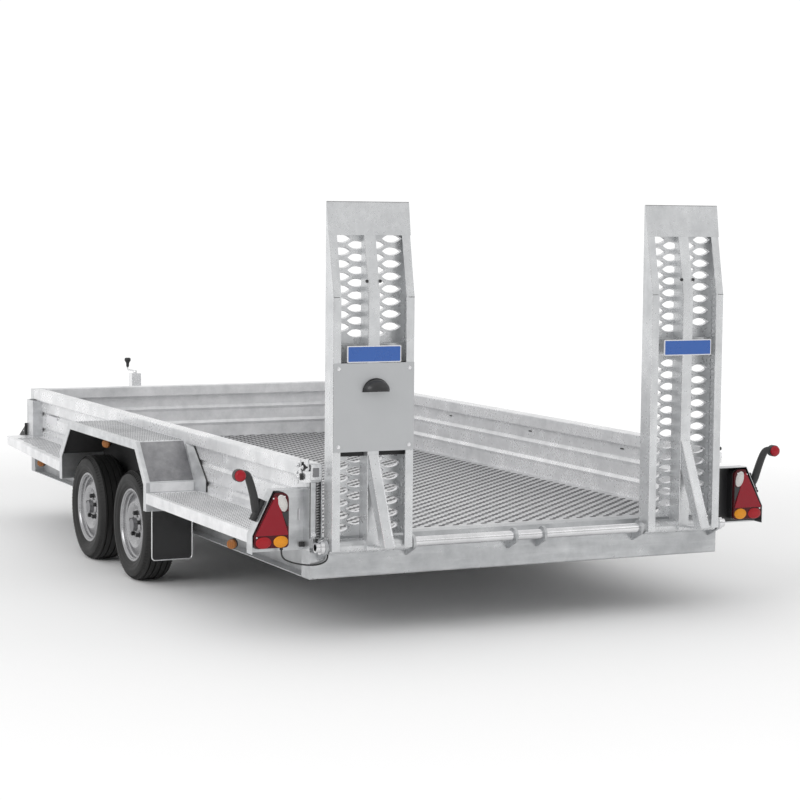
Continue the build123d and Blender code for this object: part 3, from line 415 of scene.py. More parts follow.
nodeFinish = {
    "sheetZinc": ["wings", "lamp_plates", "front_posts", "rear_posts"],
    "boardZinc": ["running_boards", "wall_front"],
    "wallZinc": ["wall_left", "wall_right"],
    "deckZinc": ["deck"],
    "rampZinc": onSides("ramp_frame", "ramp_treads", "ramp_foot"),
    "beamZinc": ["rear_beam"],
    "tubeZinc": ["hinge_bar"],
    "chassisZinc": ["chassis_rails", "cross_members", "front_beam", "axle_front", "axle_rear", "nose_plate"]
    + onSides("drawbar"),
    "brightZinc": ["jack_tube", "jack_leg", "jack_fork", "ramp_springs", "ramp_latches"],
    "boardMetal": ["number_board"],
    "castIron": ["overrun_housing", "coupling_head"] + atCorners("drum"),
    "wheelSilver": atCorners("rim") + ["jack_rim"],
    "tyreRubber": atCorners("tyre") + ["jack_tyre"],
    "blackRubber": ["mud_flaps", "marker_stalks", "gaiter", "lead_glands", "lamp_lead"],
    "blackPlastic": ["jack_crank", "handbrake_lever", "number_lamp"],
    "chockPlastic": ["wheel_chocks", "chock_holders"],
    "lampBody": ["tail_lamps"],
    "dullAmber": ["side_markers"],
}
for finish, names in nodeFinish.items():
    for name in names:
        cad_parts[name].data.materials.clear()
        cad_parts[name].data.materials.append(materials[finish])
print("materials made:", len(materials))


# Mesh helpers: each form is a pair of vertex and face lists

def joined(*forms):
    verts, faces = [], []
    for formVerts, formFaces in forms:
        start = len(verts)
        verts.extend(formVerts)
        faces.extend(tuple(index + start for index in face) for face in formFaces)
    return verts, faces


def moved(form, x=0.0, y=0.0, z=0.0):
    return [(a + x, b + y, c + z) for a, b, c in form[0]], form[1]


def turned(form, matrix):
    return [tuple(matrix @ Vector(vert)) for vert in form[0]], form[1]


def mirrored(form):
    return [(x, -y, z) for x, y, z in form[0]], [tuple(reversed(face)) for face in form[1]]


def band(count, here, ahead, closed=True):
    # Faces between two rows of points, each row starting at its own index
    return [(here + i, here + (i + 1) % count, ahead + (i + 1) % count, ahead + i)
            for i in range(count if closed else count - 1)]


def prism(outline, axis, low, high):
    # An outline pushed along an axis; its two values are the other two axes, in order
    at = "xyz".index(axis)
    count = len(outline)
    verts = [(*point[:at], level, *point[at:]) for level in (low, high) for point in outline]
    return verts, [tuple(range(count)), tuple(range(2 * count - 1, count - 1, -1))] + band(count, 0, count)


def boxForm(x0, x1, y0, y1, z0, z1):
    return prism([(x0, y0), (x1, y0), (x1, y1), (x0, y1)], "z", z0, z1)


def roundedOutline(points, radius, steps=5):
    # Rounds each corner by the same radius, or by one radius per corner
    outline = []
    for i, corner in enumerate(points):
        size = radius[i] if isinstance(radius, (list, tuple)) else radius
        here = Vector(corner)
        before = (Vector(points[i - 1]) - here).normalized()
        after = (Vector(points[(i + 1) % len(points)]) - here).normalized()
        half = math.acos(max(-1, min(1, before.dot(after)))) / 2
        if size <= 0 or half > 1.55:
            outline.append(tuple(here))
            continue
        centre = here + (before + after).normalized() * size / math.sin(half)
        first = here + before * size / math.tan(half) - centre
        last = here + after * size / math.tan(half) - centre
        sweep = math.atan2(first.x * last.y - first.y * last.x, first.dot(last))
        for step in range(steps + 1):
            angle = sweep * step / steps
            outline.append((centre.x + first.x * math.cos(angle) - first.y * math.sin(angle),
                            centre.y + first.x * math.sin(angle) + first.y * math.cos(angle)))
    return outline


def roundedSheet(x0, x1, y0, y1, z0, z1, radius):
    # A sheet that faces X, with round corners
    return prism(roundedOutline([(y0, z0), (y1, z0), (y1, z1), (y0, z1)], radius), "x", x0, x1)


def turnedRing(profile, segments, closed=True):
    # A profile of (radius, place along the axis) turned about Y
    count = len(profile)
    verts, faces = [], []
    for step in range(segments):
        angle = 2 * math.pi * step / segments
        verts += [(radius * math.cos(angle), along, radius * math.sin(angle)) for radius, along in profile]
        faces += band(count, step * count, (step + 1) % segments * count, closed)
    return verts, faces


def aimed(form, direction, place):
    # Turns a form made about Y so that its Y points along the direction, then moves it
    turn = Vector((0, 1, 0)).rotation_difference(Vector(direction)).to_matrix()
    return moved(turned(form, turn), *place)


def disc(radius, thickness, segments=24, edge=0.0):
    profile = [(0, 0), (radius, 0), (radius, thickness - edge), (radius - edge, thickness), (0, thickness)]
    return turnedRing(profile, segments, closed=False)


def tubeForm(points, radius, around=10, closed=False):
    # A round tube along points; radius may be one value per point
    path = [Vector(point) for point in points]
    count = len(path)
    verts, faces = [], []
    normal = None
    for i, here in enumerate(path):
        ahead = path[(i + 1) % count] if closed or i < count - 1 else here
        behind = path[i - 1] if closed or i else here
        along = (ahead - behind).normalized()
        if normal is None:
            normal = along.orthogonal().normalized()
        normal = (normal - along * normal.dot(along)).normalized()
        across = along.cross(normal)
        size = radius[i] if isinstance(radius, (list, tuple)) else radius
        for step in range(around):
            angle = 2 * math.pi * step / around
            verts.append(tuple(here + (normal * math.cos(angle) + across * math.sin(angle)) * size))
    for i in range(count if closed else count - 1):
        faces += band(around, i * around, (i + 1) % count * around)
    if not closed:
        faces += [tuple(range(around - 1, -1, -1)), tuple(range((count - 1) * around, count * around))]
    return verts, faces


def hexNut(radius, height):
    outline = [(radius * math.cos(math.pi * k / 3), radius * math.sin(math.pi * k / 3)) for k in range(6)]
    return prism(outline, "y", 0, height)


def boltHead(radius, height, place, direction):
    washer = disc(radius * 1.45, height * 0.25, 18)
    head = moved(hexNut(radius, height * 0.8), y=height * 0.25)
    return aimed(joined(washer, head), direction, place)


def makePiece(name, form, finish, body="trailer", bevel=0.0, smoothAngle=35, slot=None):
    verts, faces = form
    mesh = bpy.data.meshes.new(name)
    mesh.from_pydata([tuple(fromBeam(vert)) for vert in verts], [], faces)
    shape = bmesh.new()
    shape.from_mesh(mesh)
    bmesh.ops.remove_doubles(shape, verts=shape.verts, dist=1e-5)
    bmesh.ops.recalc_face_normals(shape, faces=shape.faces)
    shape.to_mesh(mesh)
    shape.free()
    mesh.materials.append(materials[finish])
    mesh.polygons.foreach_set("use_smooth", [True] * len(mesh.polygons))
    mesh.set_sharp_from_angle(angle=math.radians(smoothAngle))
    piece = bpy.data.objects.new(name, mesh)
    bpy.context.collection.objects.link(piece)
    if bevel:
        softening = piece.modifiers.new("edges", "BEVEL")
        softening.width = bevel
        softening.segments = 2
        softening.limit_method = "ANGLE"
        softening.angle_limit = math.radians(40)
        softening.harden_normals = True
    slot = slot or finishSlots.get(finish, "galvanised_steel")
    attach(piece, body)
    return piece


def bothSides(name, form, finish, bodies=("trailer", "trailer"), **settings):
    # The left piece and its mirror image
    return [makePiece(name + side, shape, finish, body, **settings)
            for side, shape, body in zip(("Left", "Right"), (form, mirrored(form)), bodies)]


# Wheels: tyre with four grooves and ribbed shoulders, dished disc with black nuts

wheel = {
    "radius": 0.261, "track": 1.107, "grooves": (-0.043, -0.015, 0.015, 0.043), "grooveWidth": 0.0065,
    "grooveDepth": 0.007, "ribs": 84, "rib": (-0.0022, 0.0022, -0.01, 0.008, -0.0055, 0.0025),
    "ribPivot": (0, 0.0655, 0.249), "ribSlant": -38, "discOffset": 0.03, "nutSeat": 0.0345,
    "nutCircle": 0.056, "nuts": 5, "firstNut": 0.3,
    # Profiles as radius and place along the axle; dish and hub start at the disc's offset
    "wall": [(0.163, 0.052), (0.17, 0.06), (0.179, 0.0665), (0.184, 0.0672), (0.187, 0.0705),
             (0.196, 0.0745), (0.203, 0.0745), (0.205, 0.0762), (0.214, 0.0785), (0.222, 0.0785),
             (0.224, 0.077), (0.231, 0.0765), (0.24, 0.0735), (0.2485, 0.067), (0.2555, 0.059),
             (0.26, 0.0545)],
    "barrel": [(0.1735, 0.06), (0.1735, 0.063), (0.17, 0.0645), (0.164, 0.0625), (0.161, 0.056),
               (0.158, 0.054), (0.1555, 0.043), (0.149, 0.038), (0.148, 0.01), (0.148, -0.03),
               (0.1555, -0.043), (0.158, -0.054), (0.164, -0.0625), (0.17, -0.0645), (0.1735, -0.06),
               (0.164, -0.056), (0.161, -0.053), (0.16, -0.042), (0.153, -0.03), (0.153, 0.01),
               (0.153, 0.035), (0.16, 0.043), (0.161, 0.053), (0.165, 0.058)],
    "dish": [(0.031, 0), (0.031, 0.012), (0.036, 0.014), (0.046, 0.006), (0.074, 0.005), (0.082, 0.01),
             (0.098, 0.02), (0.11, 0.021), (0.119, 0.015), (0.131, 0.006), (0.14, 0.002), (0.1495, 0.001),
             (0.1495, -0.006), (0.128, -0.002), (0.108, 0.014), (0.08, 0.003), (0.07, 0)],
    "hub": [(0, 0.03), (0.02, 0.03), (0.026, 0.027), (0.0285, 0.018), (0.0305, 0.002)],
}


def tyreForm():
    radius, half = wheel["radius"], wheel["grooveWidth"] / 2
    floor = radius - wheel["grooveDepth"]
    profile = [(r, -y) for r, y in wheel["wall"]]
    for groove in wheel["grooves"]:
        profile += [(radius, groove - half), (floor, groove - half * 0.6), (floor, groove + half * 0.6),
                    (radius, groove + half)]
    profile += reversed(wheel["wall"])
    forms = [turnedRing(profile, 96, closed=False)]
    slanted = turned(boxForm(*wheel["rib"]), Matrix.Rotation(math.radians(wheel["ribSlant"]), 3, "X"))
    verts, faces = moved(slanted, *wheel["ribPivot"])
    for k in range(wheel["ribs"]):
        turn = Matrix.Rotation(2 * math.pi * k / wheel["ribs"], 3, "Y")
        forms += [turned(([(x, y * sign, z) for x, y, z in verts], faces), turn) for sign in (-1, 1)]
    return joined(*forms)


def rimForms():
    # The barrel with its lips and the stepped disc, and the cup round the hub
    dish, hub = [[(r, wheel["discOffset"] + y) for r, y in wheel[key]] for key in ("dish", "hub")]
    return joined(turnedRing(wheel["barrel"], 72), turnedRing(dish, 72)), turnedRing(hub, 32, closed=False)


def nutForms():
    nut = joined(disc(0.015, 0.003, 20, 0.001), moved(hexNut(0.0112, 0.017), y=0.002),
                 moved(disc(0.0085, 0.004, 16, 0.002), y=0.018))
    angles = [2 * math.pi * k / wheel["nuts"] + wheel["firstNut"] for k in range(wheel["nuts"])]
    return joined(*[moved(nut, wheel["nutCircle"] * math.cos(angle), wheel["nutSeat"],
                          wheel["nutCircle"] * math.sin(angle)) for angle in angles])


def makeWheels():
    tyre = tyreForm()
    rim, hub = rimForms()
    nuts = nutForms()
    for end in ("rear", "front"):
        for side, sign in sides.items():
            label = end + "_" + side
            low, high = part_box("tyre_" + label)
            x = (low.x + high.x) / 2 - beamX
            body = "wheel_" + label
            for part, form, finish, nodes in (
                    ("Tyre", tyre, "tyreRubber", ["tyre_" + label]),
                    ("Rim", rim, "wheelSilver", ["rim_" + label]),
                    ("Hub", hub, "brightZinc", []),
                    ("Nuts", nuts, "blackPlastic", [])):
                placed = moved(form, x, wheel["track"], wheel["radius"])
                placed = placed if sign > 0 else mirrored(placed)
                made = makePiece(end + side.capitalize() + part, placed, finish, body, smoothAngle=32)
                if nodes:
                    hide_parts(*nodes)


makeWheels()
print("wheels made")


# Ramps: raised rims round the lens holes, blue plates, screws and the number lamp

rampBodies = ("ramp_left", "ramp_right")
ramp = {
    "inner": 0.57, "width": 0.362, "face": -0.018, "back": -0.098, "lip": 1.668, "plankLow": 0.43,
    "columns": (0.042, 0.112), "pitch": 0.05125, "first": 0.441,
    "panel": (1.144, 1.22), "lensHalf": (0.046, 0.0185), "rimDepth": 0.014, "rimSheet": 0.002,
    "rimLean": 0.0036, "tooth": 0.0016, "teeth": 10, "around": 40,
}


def lensPoint(angle, inset=0.0):
    # A leaf between two arcs, as the punch leaves it
    halfLong, halfHigh = ramp["lensHalf"][0] - inset, ramp["lensHalf"][1] - 0.7 * inset
    arcRadius = (halfLong ** 2 + halfHigh ** 2) / (2 * halfHigh)
    y = halfLong * math.cos(angle)
    z = math.sqrt(arcRadius ** 2 - y ** 2) - arcRadius + halfHigh
    return y, math.copysign(z, math.sin(angle))


def lensRimForm():
    # The collar that the punch draws forward, with a torn, toothed edge
    verts, faces = [], []
    count = ramp["around"]
    root, depth, thick, lean = ramp["face"] - 0.003, ramp["rimDepth"], ramp["rimSheet"], ramp["rimLean"]
    for k in range(count):
        angle = 2 * math.pi * (k + 0.5) / count
        reach = ramp["face"] + depth + ramp["tooth"] * math.copysign(1, math.cos(angle * ramp["teeth"]))
        section = [(root, 0), (ramp["face"] + depth * 0.5, lean * 0.3), (reach, lean), (reach, lean + thick),
                   (ramp["face"] + depth * 0.4, lean * 0.3 + thick), (root, thick)]
        verts += [(x, *lensPoint(angle, inset)) for x, inset in section]
        faces += band(len(section), k * len(section), (k + 1) % count * len(section))
    return verts, faces


def rampMiddle():
    return ramp["inner"] + ramp["width"] / 2


def lensPlaces():
    places = []
    panelLow, panelHigh = ramp["panel"]
    halfHigh = ramp["lensHalf"][1]
    for side in (-1, 1):
        for column, offset in enumerate(ramp["columns"]):
            level = ramp["first"] + column * ramp["pitch"] / 2
            while level + halfHigh < ramp["lip"]:
                clear = level < panelLow - halfHigh or level > panelHigh + halfHigh
                if clear and level - halfHigh > ramp["plankLow"]:
                    places.append((rampMiddle() + side * offset, level))
                level += ramp["pitch"]
    return places


def makeRampRims():
    rim = lensRimForm()
    rims = joined(*[moved(rim, y=y, z=z) for y, z in lensPlaces()])
    bothSides("lensRims", rims, "brightZinc", rampBodies, smoothAngle=50)


bluePlate = {"half": 0.12, "low": 1.146, "high": 1.214, "sheet": 0.0035, "border": 0.004}


def makeRampPlates():
    # Blank blue plates with a pale rim line, one on each ramp's cross panel
    y0, y1 = rampMiddle() - bluePlate["half"], rampMiddle() + bluePlate["half"]
    low, high, border = bluePlate["low"], bluePlate["high"], bluePlate["border"]
    back = ramp["back"] - bluePlate["sheet"]
    edge = roundedSheet(back - 0.0012, ramp["back"], y0, y1, low, high, 0.004)
    field = roundedSheet(back - 0.0016, back, y0 + border, y1 - border, low + border, high - border, 0.003)
    for name, form, finish in (("plateEdge", edge, "plateWhite"), ("plateField", field, "plateBlue")):
        bothSides(name, form, finish, rampBodies, smoothAngle=40)


numberBoard = {"low": 0.784, "size": 0.36, "sheet": 0.003, "screwInset": 0.022}
numberLamp = {"offset": -0.008, "z": 1.032, "halfWide": 0.057, "high": 0.046, "deep": 0.044, "seat": 0.004,
              "roundness": 0.8, "rings": 10, "around": 28, "foot": 0.005, "footHalf": 0.06, "footHigh": 0.056,
              "footLow": 1.026, "footSteps": 24}


def makeNumberBoard():
    back = ramp["back"] - numberBoard["sheet"]
    near, far = numberBoard["screwInset"], numberBoard["size"] - numberBoard["screwInset"]
    screws = [boltHead(0.0055, 0.005, (back, ramp["inner"] + y, numberBoard["low"] + z), (-1, 0, 0))
              for y in (near, far) for z in (near, far)]
    makePiece("boardScrews", joined(*screws), "brightZinc", "ramp_left")
    # The lamp: a smoked half dome on a black foot
    verts, faces = [], []
    rings, row = numberLamp["rings"], numberLamp["around"] + 1
    for ring in range(rings + 1):
        lift = math.pi / 2 * ring / rings
        share = math.cos(lift) ** numberLamp["roundness"]
        for k in range(row):
            angle = math.pi * k / numberLamp["around"]
            verts.append((back - numberLamp["seat"] - numberLamp["deep"] * math.sin(lift),
                          numberLamp["halfWide"] * math.cos(angle) * share,
                          numberLamp["high"] * math.sin(angle) * share))
    for ring in range(rings):
        faces += band(row, ring * row, (ring + 1) * row, closed=False)
    faces.append(tuple(ring * row for ring in range(rings + 1))
                 + tuple(ring * row + row - 1 for ring in range(rings, -1, -1)))
    middle = rampMiddle() + numberLamp["offset"]
    dome = moved((verts, faces), y=middle, z=numberLamp["z"])
    lamp = makePiece("numberLampDome", dome, "blackPlastic", "ramp_left", smoothAngle=60,
                     slot="smoked_plastic")
    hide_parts("number_lamp")
    angles = [math.pi * k / numberLamp["footSteps"] for k in range(numberLamp["footSteps"] + 1)]
    arc = [(middle + numberLamp["footHalf"] * math.cos(angle),
            numberLamp["footLow"] + numberLamp["footHigh"] * math.sin(angle)) for angle in angles]
    foot = prism(arc, "x", back - numberLamp["foot"], back)
    makePiece("numberLampFoot", foot, "blackRubber", "ramp_left", bevel=0.001)


makeRampRims()
makeRampPlates()
makeNumberBoard()
print("ramps dressed")


# Deck: rows of raised dashes, every other row shifted; wing tops and boards: small raised dots. Dashes and
# dots take darker zinc than the sheet around them, as painted shade

deck = {"rowStep": 0.0315, "dashStep": 0.068, "halfX": 0.0044, "halfY": 0.018, "foot": -0.0005,
        "rise": 0.0026, "top": 0.42, "from": 0.15, "to": 3.995, "half": 0.912}
dots = {"pitch": 0.026, "radius": 0.0042, "foot": -0.0003, "rise": 0.002, "sides": 8}
dotFields = [
    # Name, rear end, front end, inner line, outer line at the rear end, its taper, level
    ("wingDots", 1.51, 2.535, 1.002, 1.206, 0, 0.683),
    ("rearBoardDots", 0.085, 1.33, 0.992, 1.206, 0, 0.46),
    ("frontBoardDots", 2.74, 3.94, 0.992, 1.19321, 0.0716, 0.46),
]


def studForm(base, foot, rise, narrowX, narrowY):
    # A raised stud: its outline at the foot, and the same outline drawn in at the top
    count = len(base)
    verts = [(x, y, foot) for x, y in base] + [(x * narrowX, y * narrowY, rise) for x, y in base]
    return verts, [tuple(range(count, 2 * count))] + band(count, 0, count)


def makeDeckDashes():
    x, y = deck["halfX"], deck["halfY"]
    base = [(-x, 0), (-x * 0.7, y * 0.6), (0, y), (x * 0.7, y * 0.6), (x, 0), (x * 0.7, -y * 0.6), (0, -y),
            (-x * 0.7, -y * 0.6)]
    dash = studForm(base, deck["foot"], deck["rise"], 0.55, 0.75)
    reach = int(deck["half"] / deck["dashStep"]) + 1
    forms = []
    for row in range(int(deck["to"] / deck["rowStep"]) + 1):
        for place in range(-reach, reach + 1):
            x, y = row * deck["rowStep"], (place + (row % 2) / 2) * deck["dashStep"]
            if deck["from"] < x < deck["to"] and abs(y) < deck["half"]:
                forms.append(moved(dash, x, y, deck["top"]))
    # The dashes take a much darker zinc than the deck: painted shade
    makePiece("deckDashes", joined(*forms), "dashShadeZinc", smoothAngle=70)


def makeDots():
    # Staggered dots between an inner line and an outer edge that may taper with X
    angles = [2 * math.pi * k / dots["sides"] for k in range(dots["sides"])]
    dot = studForm([(dots["radius"] * math.cos(angle), dots["radius"] * math.sin(angle)) for angle in angles],
                   dots["foot"], dots["rise"], 0.5, 0.5)
    step = dots["pitch"] / 2
    for name, rear, front, inner, outer, taper, level in dotFields:
        forms = []
        for row in range(int((front - rear) / step)):
            x, y = rear + row * step, inner + (row % 2) * step
            while y <= outer - (x - rear) * taper:
                forms.append(moved(dot, x, y, level))
                y += dots["pitch"]
        # The dots take a darker zinc than the sheet they stand on: painted shade
        bothSides(name, joined(*forms), "dotShadeZinc", smoothAngle=70)


makeDeckDashes()
makeDots()
print("deck and boards dressed")


# Tail lamps, marker stalks and side markers

tailLamp = {
    "inner": 1.077, "outer": 1.231, "low": 0.392, "top": 0.62, "slantY": 1.14, "slantZ": 0.448,
    "back": -0.002, "depth": 0.058,
    "screws": [(1.092, 0.452), (1.219, 0.44), (1.098, 0.602), (1.146, 0.596)],
    "triangle": [(1.082, 0.446), (1.226, 0.446), (1.139, 0.606), (1.13, 0.6)],
    "darkField": [(1.081, 0.47), (1.081, 0.545), (1.094, 0.54), (1.112, 0.538)],
    # Each lens: name, finish, middle, half width, half height, tilt
    "lenses": [("lampClear", "clearLens", (1.108, 0.576, 0.021, 0.036, -0.3)),
               ("lampBrake", "darkRedLens", (1.19, 0.418, 0.034, 0.024, 0)),
               ("lampTurning", "amberLens", (1.115, 0.419, 0.032, 0.024, 0))],
}


def lampOutline(inset, radius):
    low, top = tailLamp["low"] + inset, tailLamp["top"] - inset
    inner, outer = tailLamp["inner"] + inset, tailLamp["outer"] - inset
    slant = inset * 0.6
    return roundedOutline([(inner, low), (outer, low), (outer, tailLamp["slantZ"] - slant),
                           (tailLamp["slantY"] - slant * 1.2, top), (inner, top)],
                          [radius * 0.8, radius, radius * 0.5, radius * 0.4, radius * 1.5])


def lensBulge(outline, back, rise, steps=4):
    # A domed lens over an outline in the Y-Z plane, bulging towards the rear
    centreY = sum(y for y, z in outline) / len(outline)
    centreZ = sum(z for y, z in outline) / len(outline)
    count = len(outline)
    verts, faces = [(back + 0.004, y, z) for y, z in outline], []
    for step in range(steps + 1):
        share = math.cos(math.pi / 2 * step / steps) ** 0.7
        lift = rise * math.sin(math.pi / 2 * step / steps)
        verts += [(back - lift, centreY + (y - centreY) * share, centreZ + (z - centreZ) * share)
                  for y, z in outline]
    for ring in range(steps + 1):
        faces += band(count, ring * count, (ring + 1) * count)
    return verts, faces


def ovalOutline(y, z, halfWide, halfHigh, tilt, count=28):
    outline = []
    across, up = math.cos(tilt), math.sin(tilt)
    for k in range(count):
        angle = 2 * math.pi * k / count
        a, b = halfWide * math.cos(angle), halfHigh * math.sin(angle)
        outline.append((y + a * across - b * up, z + a * up + b * across))
    return outline


def makeTailLamps():
    back, depth = tailLamp["back"], tailLamp["depth"]
    housing = prism(lampOutline(0, 0.02), "x", back + 0.016, back + depth + 0.004)
    face = prism(lampOutline(0.0015, 0.019), "x", back + 0.002, back + 0.018)
    screws = [aimed(disc(0.0036, 0.003, 14, 0.001), (-1, 0, 0), (back + 0.003, y, z))
              for y, z in tailLamp["screws"]]
    triangle = prism(roundedOutline(tailLamp["triangle"], 0.004), "x", back - 0.002, back + 0.006)
    dark = prism(roundedOutline(tailLamp["darkField"], 0.003), "x", back, back + 0.006)
    bothSides("lampHousing", housing, "blackPlastic", bevel=0.002)
    lampFaces = bothSides("lampFace", face, "lampBody", bevel=0.003)
    bothSides("lampScrews", joined(*screws), "brightZinc")
    bothSides("lampTriangle", triangle, "redReflector", bevel=0.0015)
    for name, finish, oval in tailLamp["lenses"]:
        bothSides(name, lensBulge(ovalOutline(*oval), back + 0.001, 0.006), finish, smoothAngle=60)
    bothSides("lampDarkField", dark, "blackPlastic", bevel=0.001)
    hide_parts("tail_lamps")


def smoothPath(points, steps=6):
    # Points of a Catmull-Rom curve through the given ones
    path = [Vector(point) for point in points]
    path = [2 * path[0] - path[1]] + path + [2 * path[-1] - path[-2]]
    result = []
    for a, b, c, d in zip(path, path[1:], path[2:], path[3:]):
        for step in range(steps):
            t = step / steps
            result.append(0.5 * (2 * b + (c - a) * t + (2 * a - 5 * b + 4 * c - d) * t * t
                                 + (3 * b - a - 3 * c + d) * t ** 3))
    result.append(path[-2])
    return [tuple(point) for point in result]


stalk = {
    "path": [(0.046, 1.205, 0.548), (0.037, 1.213, 0.57), (0.03, 1.222, 0.607), (0.025, 1.237, 0.655),
             (0.02, 1.252, 0.69), (0.015, 1.268, 0.7), (0.012, 1.286, 0.697)],
    "radius": 0.0165, "taper": (1.12, 0.24), "head": (0.01, 1.2925, 0.696), "headRadius": 0.0235,
    "headHalf": 0.026, "rimWall": 0.002, "mountLow": (0.044, 1.2205, 0.508),
    "mountHigh": (0.044, 1.181, 0.587), "mountRadius": 0.0145, "mountRibs": 7, "rib": (0.01, 0.0175, 0.0022),
}


def hoopForm(inner, outer, half, segments):
    return turnedRing([(inner, -half), (outer, -half), (outer, half), (inner, half)], segments)


def makeStalks():
    path = smoothPath(stalk["path"])
    last = len(path) - 1
    thick, taper = stalk["taper"]
    arm = tubeForm(path, [stalk["radius"] * (thick - taper * i / last) for i in range(last + 1)], 18)
    low, high = Vector(stalk["mountLow"]), Vector(stalk["mountHigh"])
    foot = tubeForm([low, high], stalk["mountRadius"], 20)
    ribs = [aimed(hoopForm(*stalk["rib"], 24), high - low, low.lerp(high, k / (stalk["mountRibs"] - 1)))
            for k in range(stalk["mountRibs"])]
    radius, half = stalk["headRadius"], stalk["headHalf"]
    ring = aimed(hoopForm(radius * 0.7, radius + stalk["rimWall"], half * 0.5, 32), (-1, 0, 0), stalk["head"])
    lens = turnedRing([(radius, 0), (radius, half * 0.55), (radius * 0.9, half * 0.85), (radius * 0.6, half),
                       (0, half * 1.03)], 32, closed=False)
    arms = bothSides("stalkArm", joined(arm, foot, ring, *ribs), "blackRubber", smoothAngle=50)
    for name, facing, finish in (("stalkRearLens", -1, "redLens"), ("stalkFrontLens", 1, "clearLens")):
        bothSides(name, aimed(lens, (facing, 0, 0), stalk["head"]), finish, smoothAngle=50)
    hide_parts("marker_stalks")


sideMarker = {
    "places": [(0.33, 1.198, 0.368, 0.456), (2.035, 1.192, 0.62, 0.679), (3.45, 1.108, 0.37, 0.456)],
    "turn": 42,
    "lens": [(0, 0.014), (0.012, 0.0135), (0.0195, 0.01), (0.021, 0.004), (0.021, -0.01)],
    "cup": [(0.0215, -0.002), (0.0225, -0.005), (0.0225, -0.012), (0.014, -0.018), (0, -0.018)],
    "strip": (0.007, 0.0025, -0.014, -0.011),
    "lead": [(0.012, -0.018, 0), (0.024, -0.022, 0.006), (0.022, -0.024, 0.03)],
}


def makeSideMarkers():
    # Round amber lamps on small black clips under the edges; each place ends with the edge's level
    lamps, clips = [], []
    towards = Matrix.Rotation(math.radians(sideMarker["turn"]), 3, "Z")
    lens, cup = [turned(turnedRing(sideMarker[key], 28, closed=False), towards) for key in ("lens", "cup")]
    offset, half, inner, outer = sideMarker["strip"]
    for x, y, z, top in sideMarker["places"]:
        lamps.append(moved(lens, x, y, z))
        clips.append(moved(cup, x, y, z))
        clips += [boxForm(side - half, side + half, y + inner, y + outer, z + 0.01, top)
                  for side in (x - offset, x + offset)]
        lead = [(x + a, y + b, z + c) for a, b, c in sideMarker["lead"]] + [(x + 0.012, y - 0.024, top)]
        clips.append(tubeForm(smoothPath(lead), 0.0022, 8))
    amber = bothSides("sideMarkerLens", joined(*lamps), "dullAmber", smoothAngle=50)
    bothSides("sideMarkerClips", joined(*clips), "blackRubber", smoothAngle=50)
    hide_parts("side_markers")


makeTailLamps()
makeStalks()
makeSideMarkers()
print("lamps made")


# Rear corners: coil springs in the posts, latches and rail ends

cornerPost = {"y": 0.951, "low": 0.43, "high": 0.65, "coilX": 0.01, "coil": 0.0095, "wire": 0.0028,
              "turns": 20, "turnSteps": 12, "rodX": 0.014, "rod": 0.004, "rodLow": 0.42, "coverLow": 0.422,
              "coverHigh": 0.655, "inner": 0.936, "plate": 0.962, "outer": 0.9845, "nut": (0, 0.971, 0.438)}


def makeSprings():
    y, low, high = cornerPost["y"], cornerPost["coverLow"], cornerPost["coverHigh"]
    foot, rise = cornerPost["low"], cornerPost["high"] - cornerPost["low"]
    steps = cornerPost["turns"] * cornerPost["turnSteps"]
    path = []
    for k in range(steps + 1):
        angle = 2 * math.pi * k / cornerPost["turnSteps"]
        path.append((cornerPost["coilX"] + cornerPost["coil"] * math.cos(angle),
                     y + cornerPost["coil"] * math.sin(angle), foot + rise * k / steps))
    coil = tubeForm(path, cornerPost["wire"], 6)
    rod = tubeForm([(cornerPost["rodX"], y, cornerPost["rodLow"]), (cornerPost["rodX"], y, high)],
                   cornerPost["rod"], 12)
    ends = [aimed(disc(0.0115, 0.006, 20, 0.001), (0, 0, 1), (0.012, y, z))
            for z in (0.4215, cornerPost["high"])]
    coils = bothSides("springCoil", joined(coil, rod, *ends), "springSteel", smoothAngle=60,
                      slot="spring_steel")
    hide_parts("ramp_springs")
    cover = boxForm(-0.001, 0.003, cornerPost["plate"], cornerPost["outer"], low, high)
    lip = boxForm(-0.002, 0.012, cornerPost["inner"] - 0.003, cornerPost["inner"], low, high)
    bothSides("postCover", joined(cover, lip), "sheetZinc", bevel=0.001)
    nut = boltHead(0.008, 0.007, cornerPost["nut"], (-1, 0, 0))
    bothSides("postNut", nut, "brightZinc")


latch = {
    # Pins: x, z, radius, length
    "pins": [(0.036, 0.676, 0.01, 0.034), (0.07, 0.69, 0.008, 0.024), (0.018, 0.716, 0.007, 0.024),
             (0.056, 0.722, 0.008, 0.028), (0.086, 0.668, 0.006, 0.02)],
    "face": 0.9885, "hookSheet": (0.99, 0.996), "leverSheet": (1.009, 1.015),
    "hook": [(0.01, 0.65), (0.075, 0.65), (0.096, 0.672), (0.088, 0.7), (0.064, 0.712), (0.03, 0.74),
             (0.006, 0.74), (0, 0.712), (0.012, 0.69)],
    "lever": [(0.024, 0.664), (0.052, 0.658), (0.062, 0.742), (0.05, 0.75), (0.04, 0.744), (0.034, 0.7)],
    "slider": (0.1, 0.15, 0.988, 0.995, 0.672, 0.704), "tongue": (0.118, 0.128, 0.988, 0.992, 0.636, 0.672),
    "railCap": (-0.005, 0.006, 0.936, 0.984, 0.664, 0.727),
    "railPlug": (-0.0065, -0.003, 0.95, 0.978, 0.676, 0.714),
}


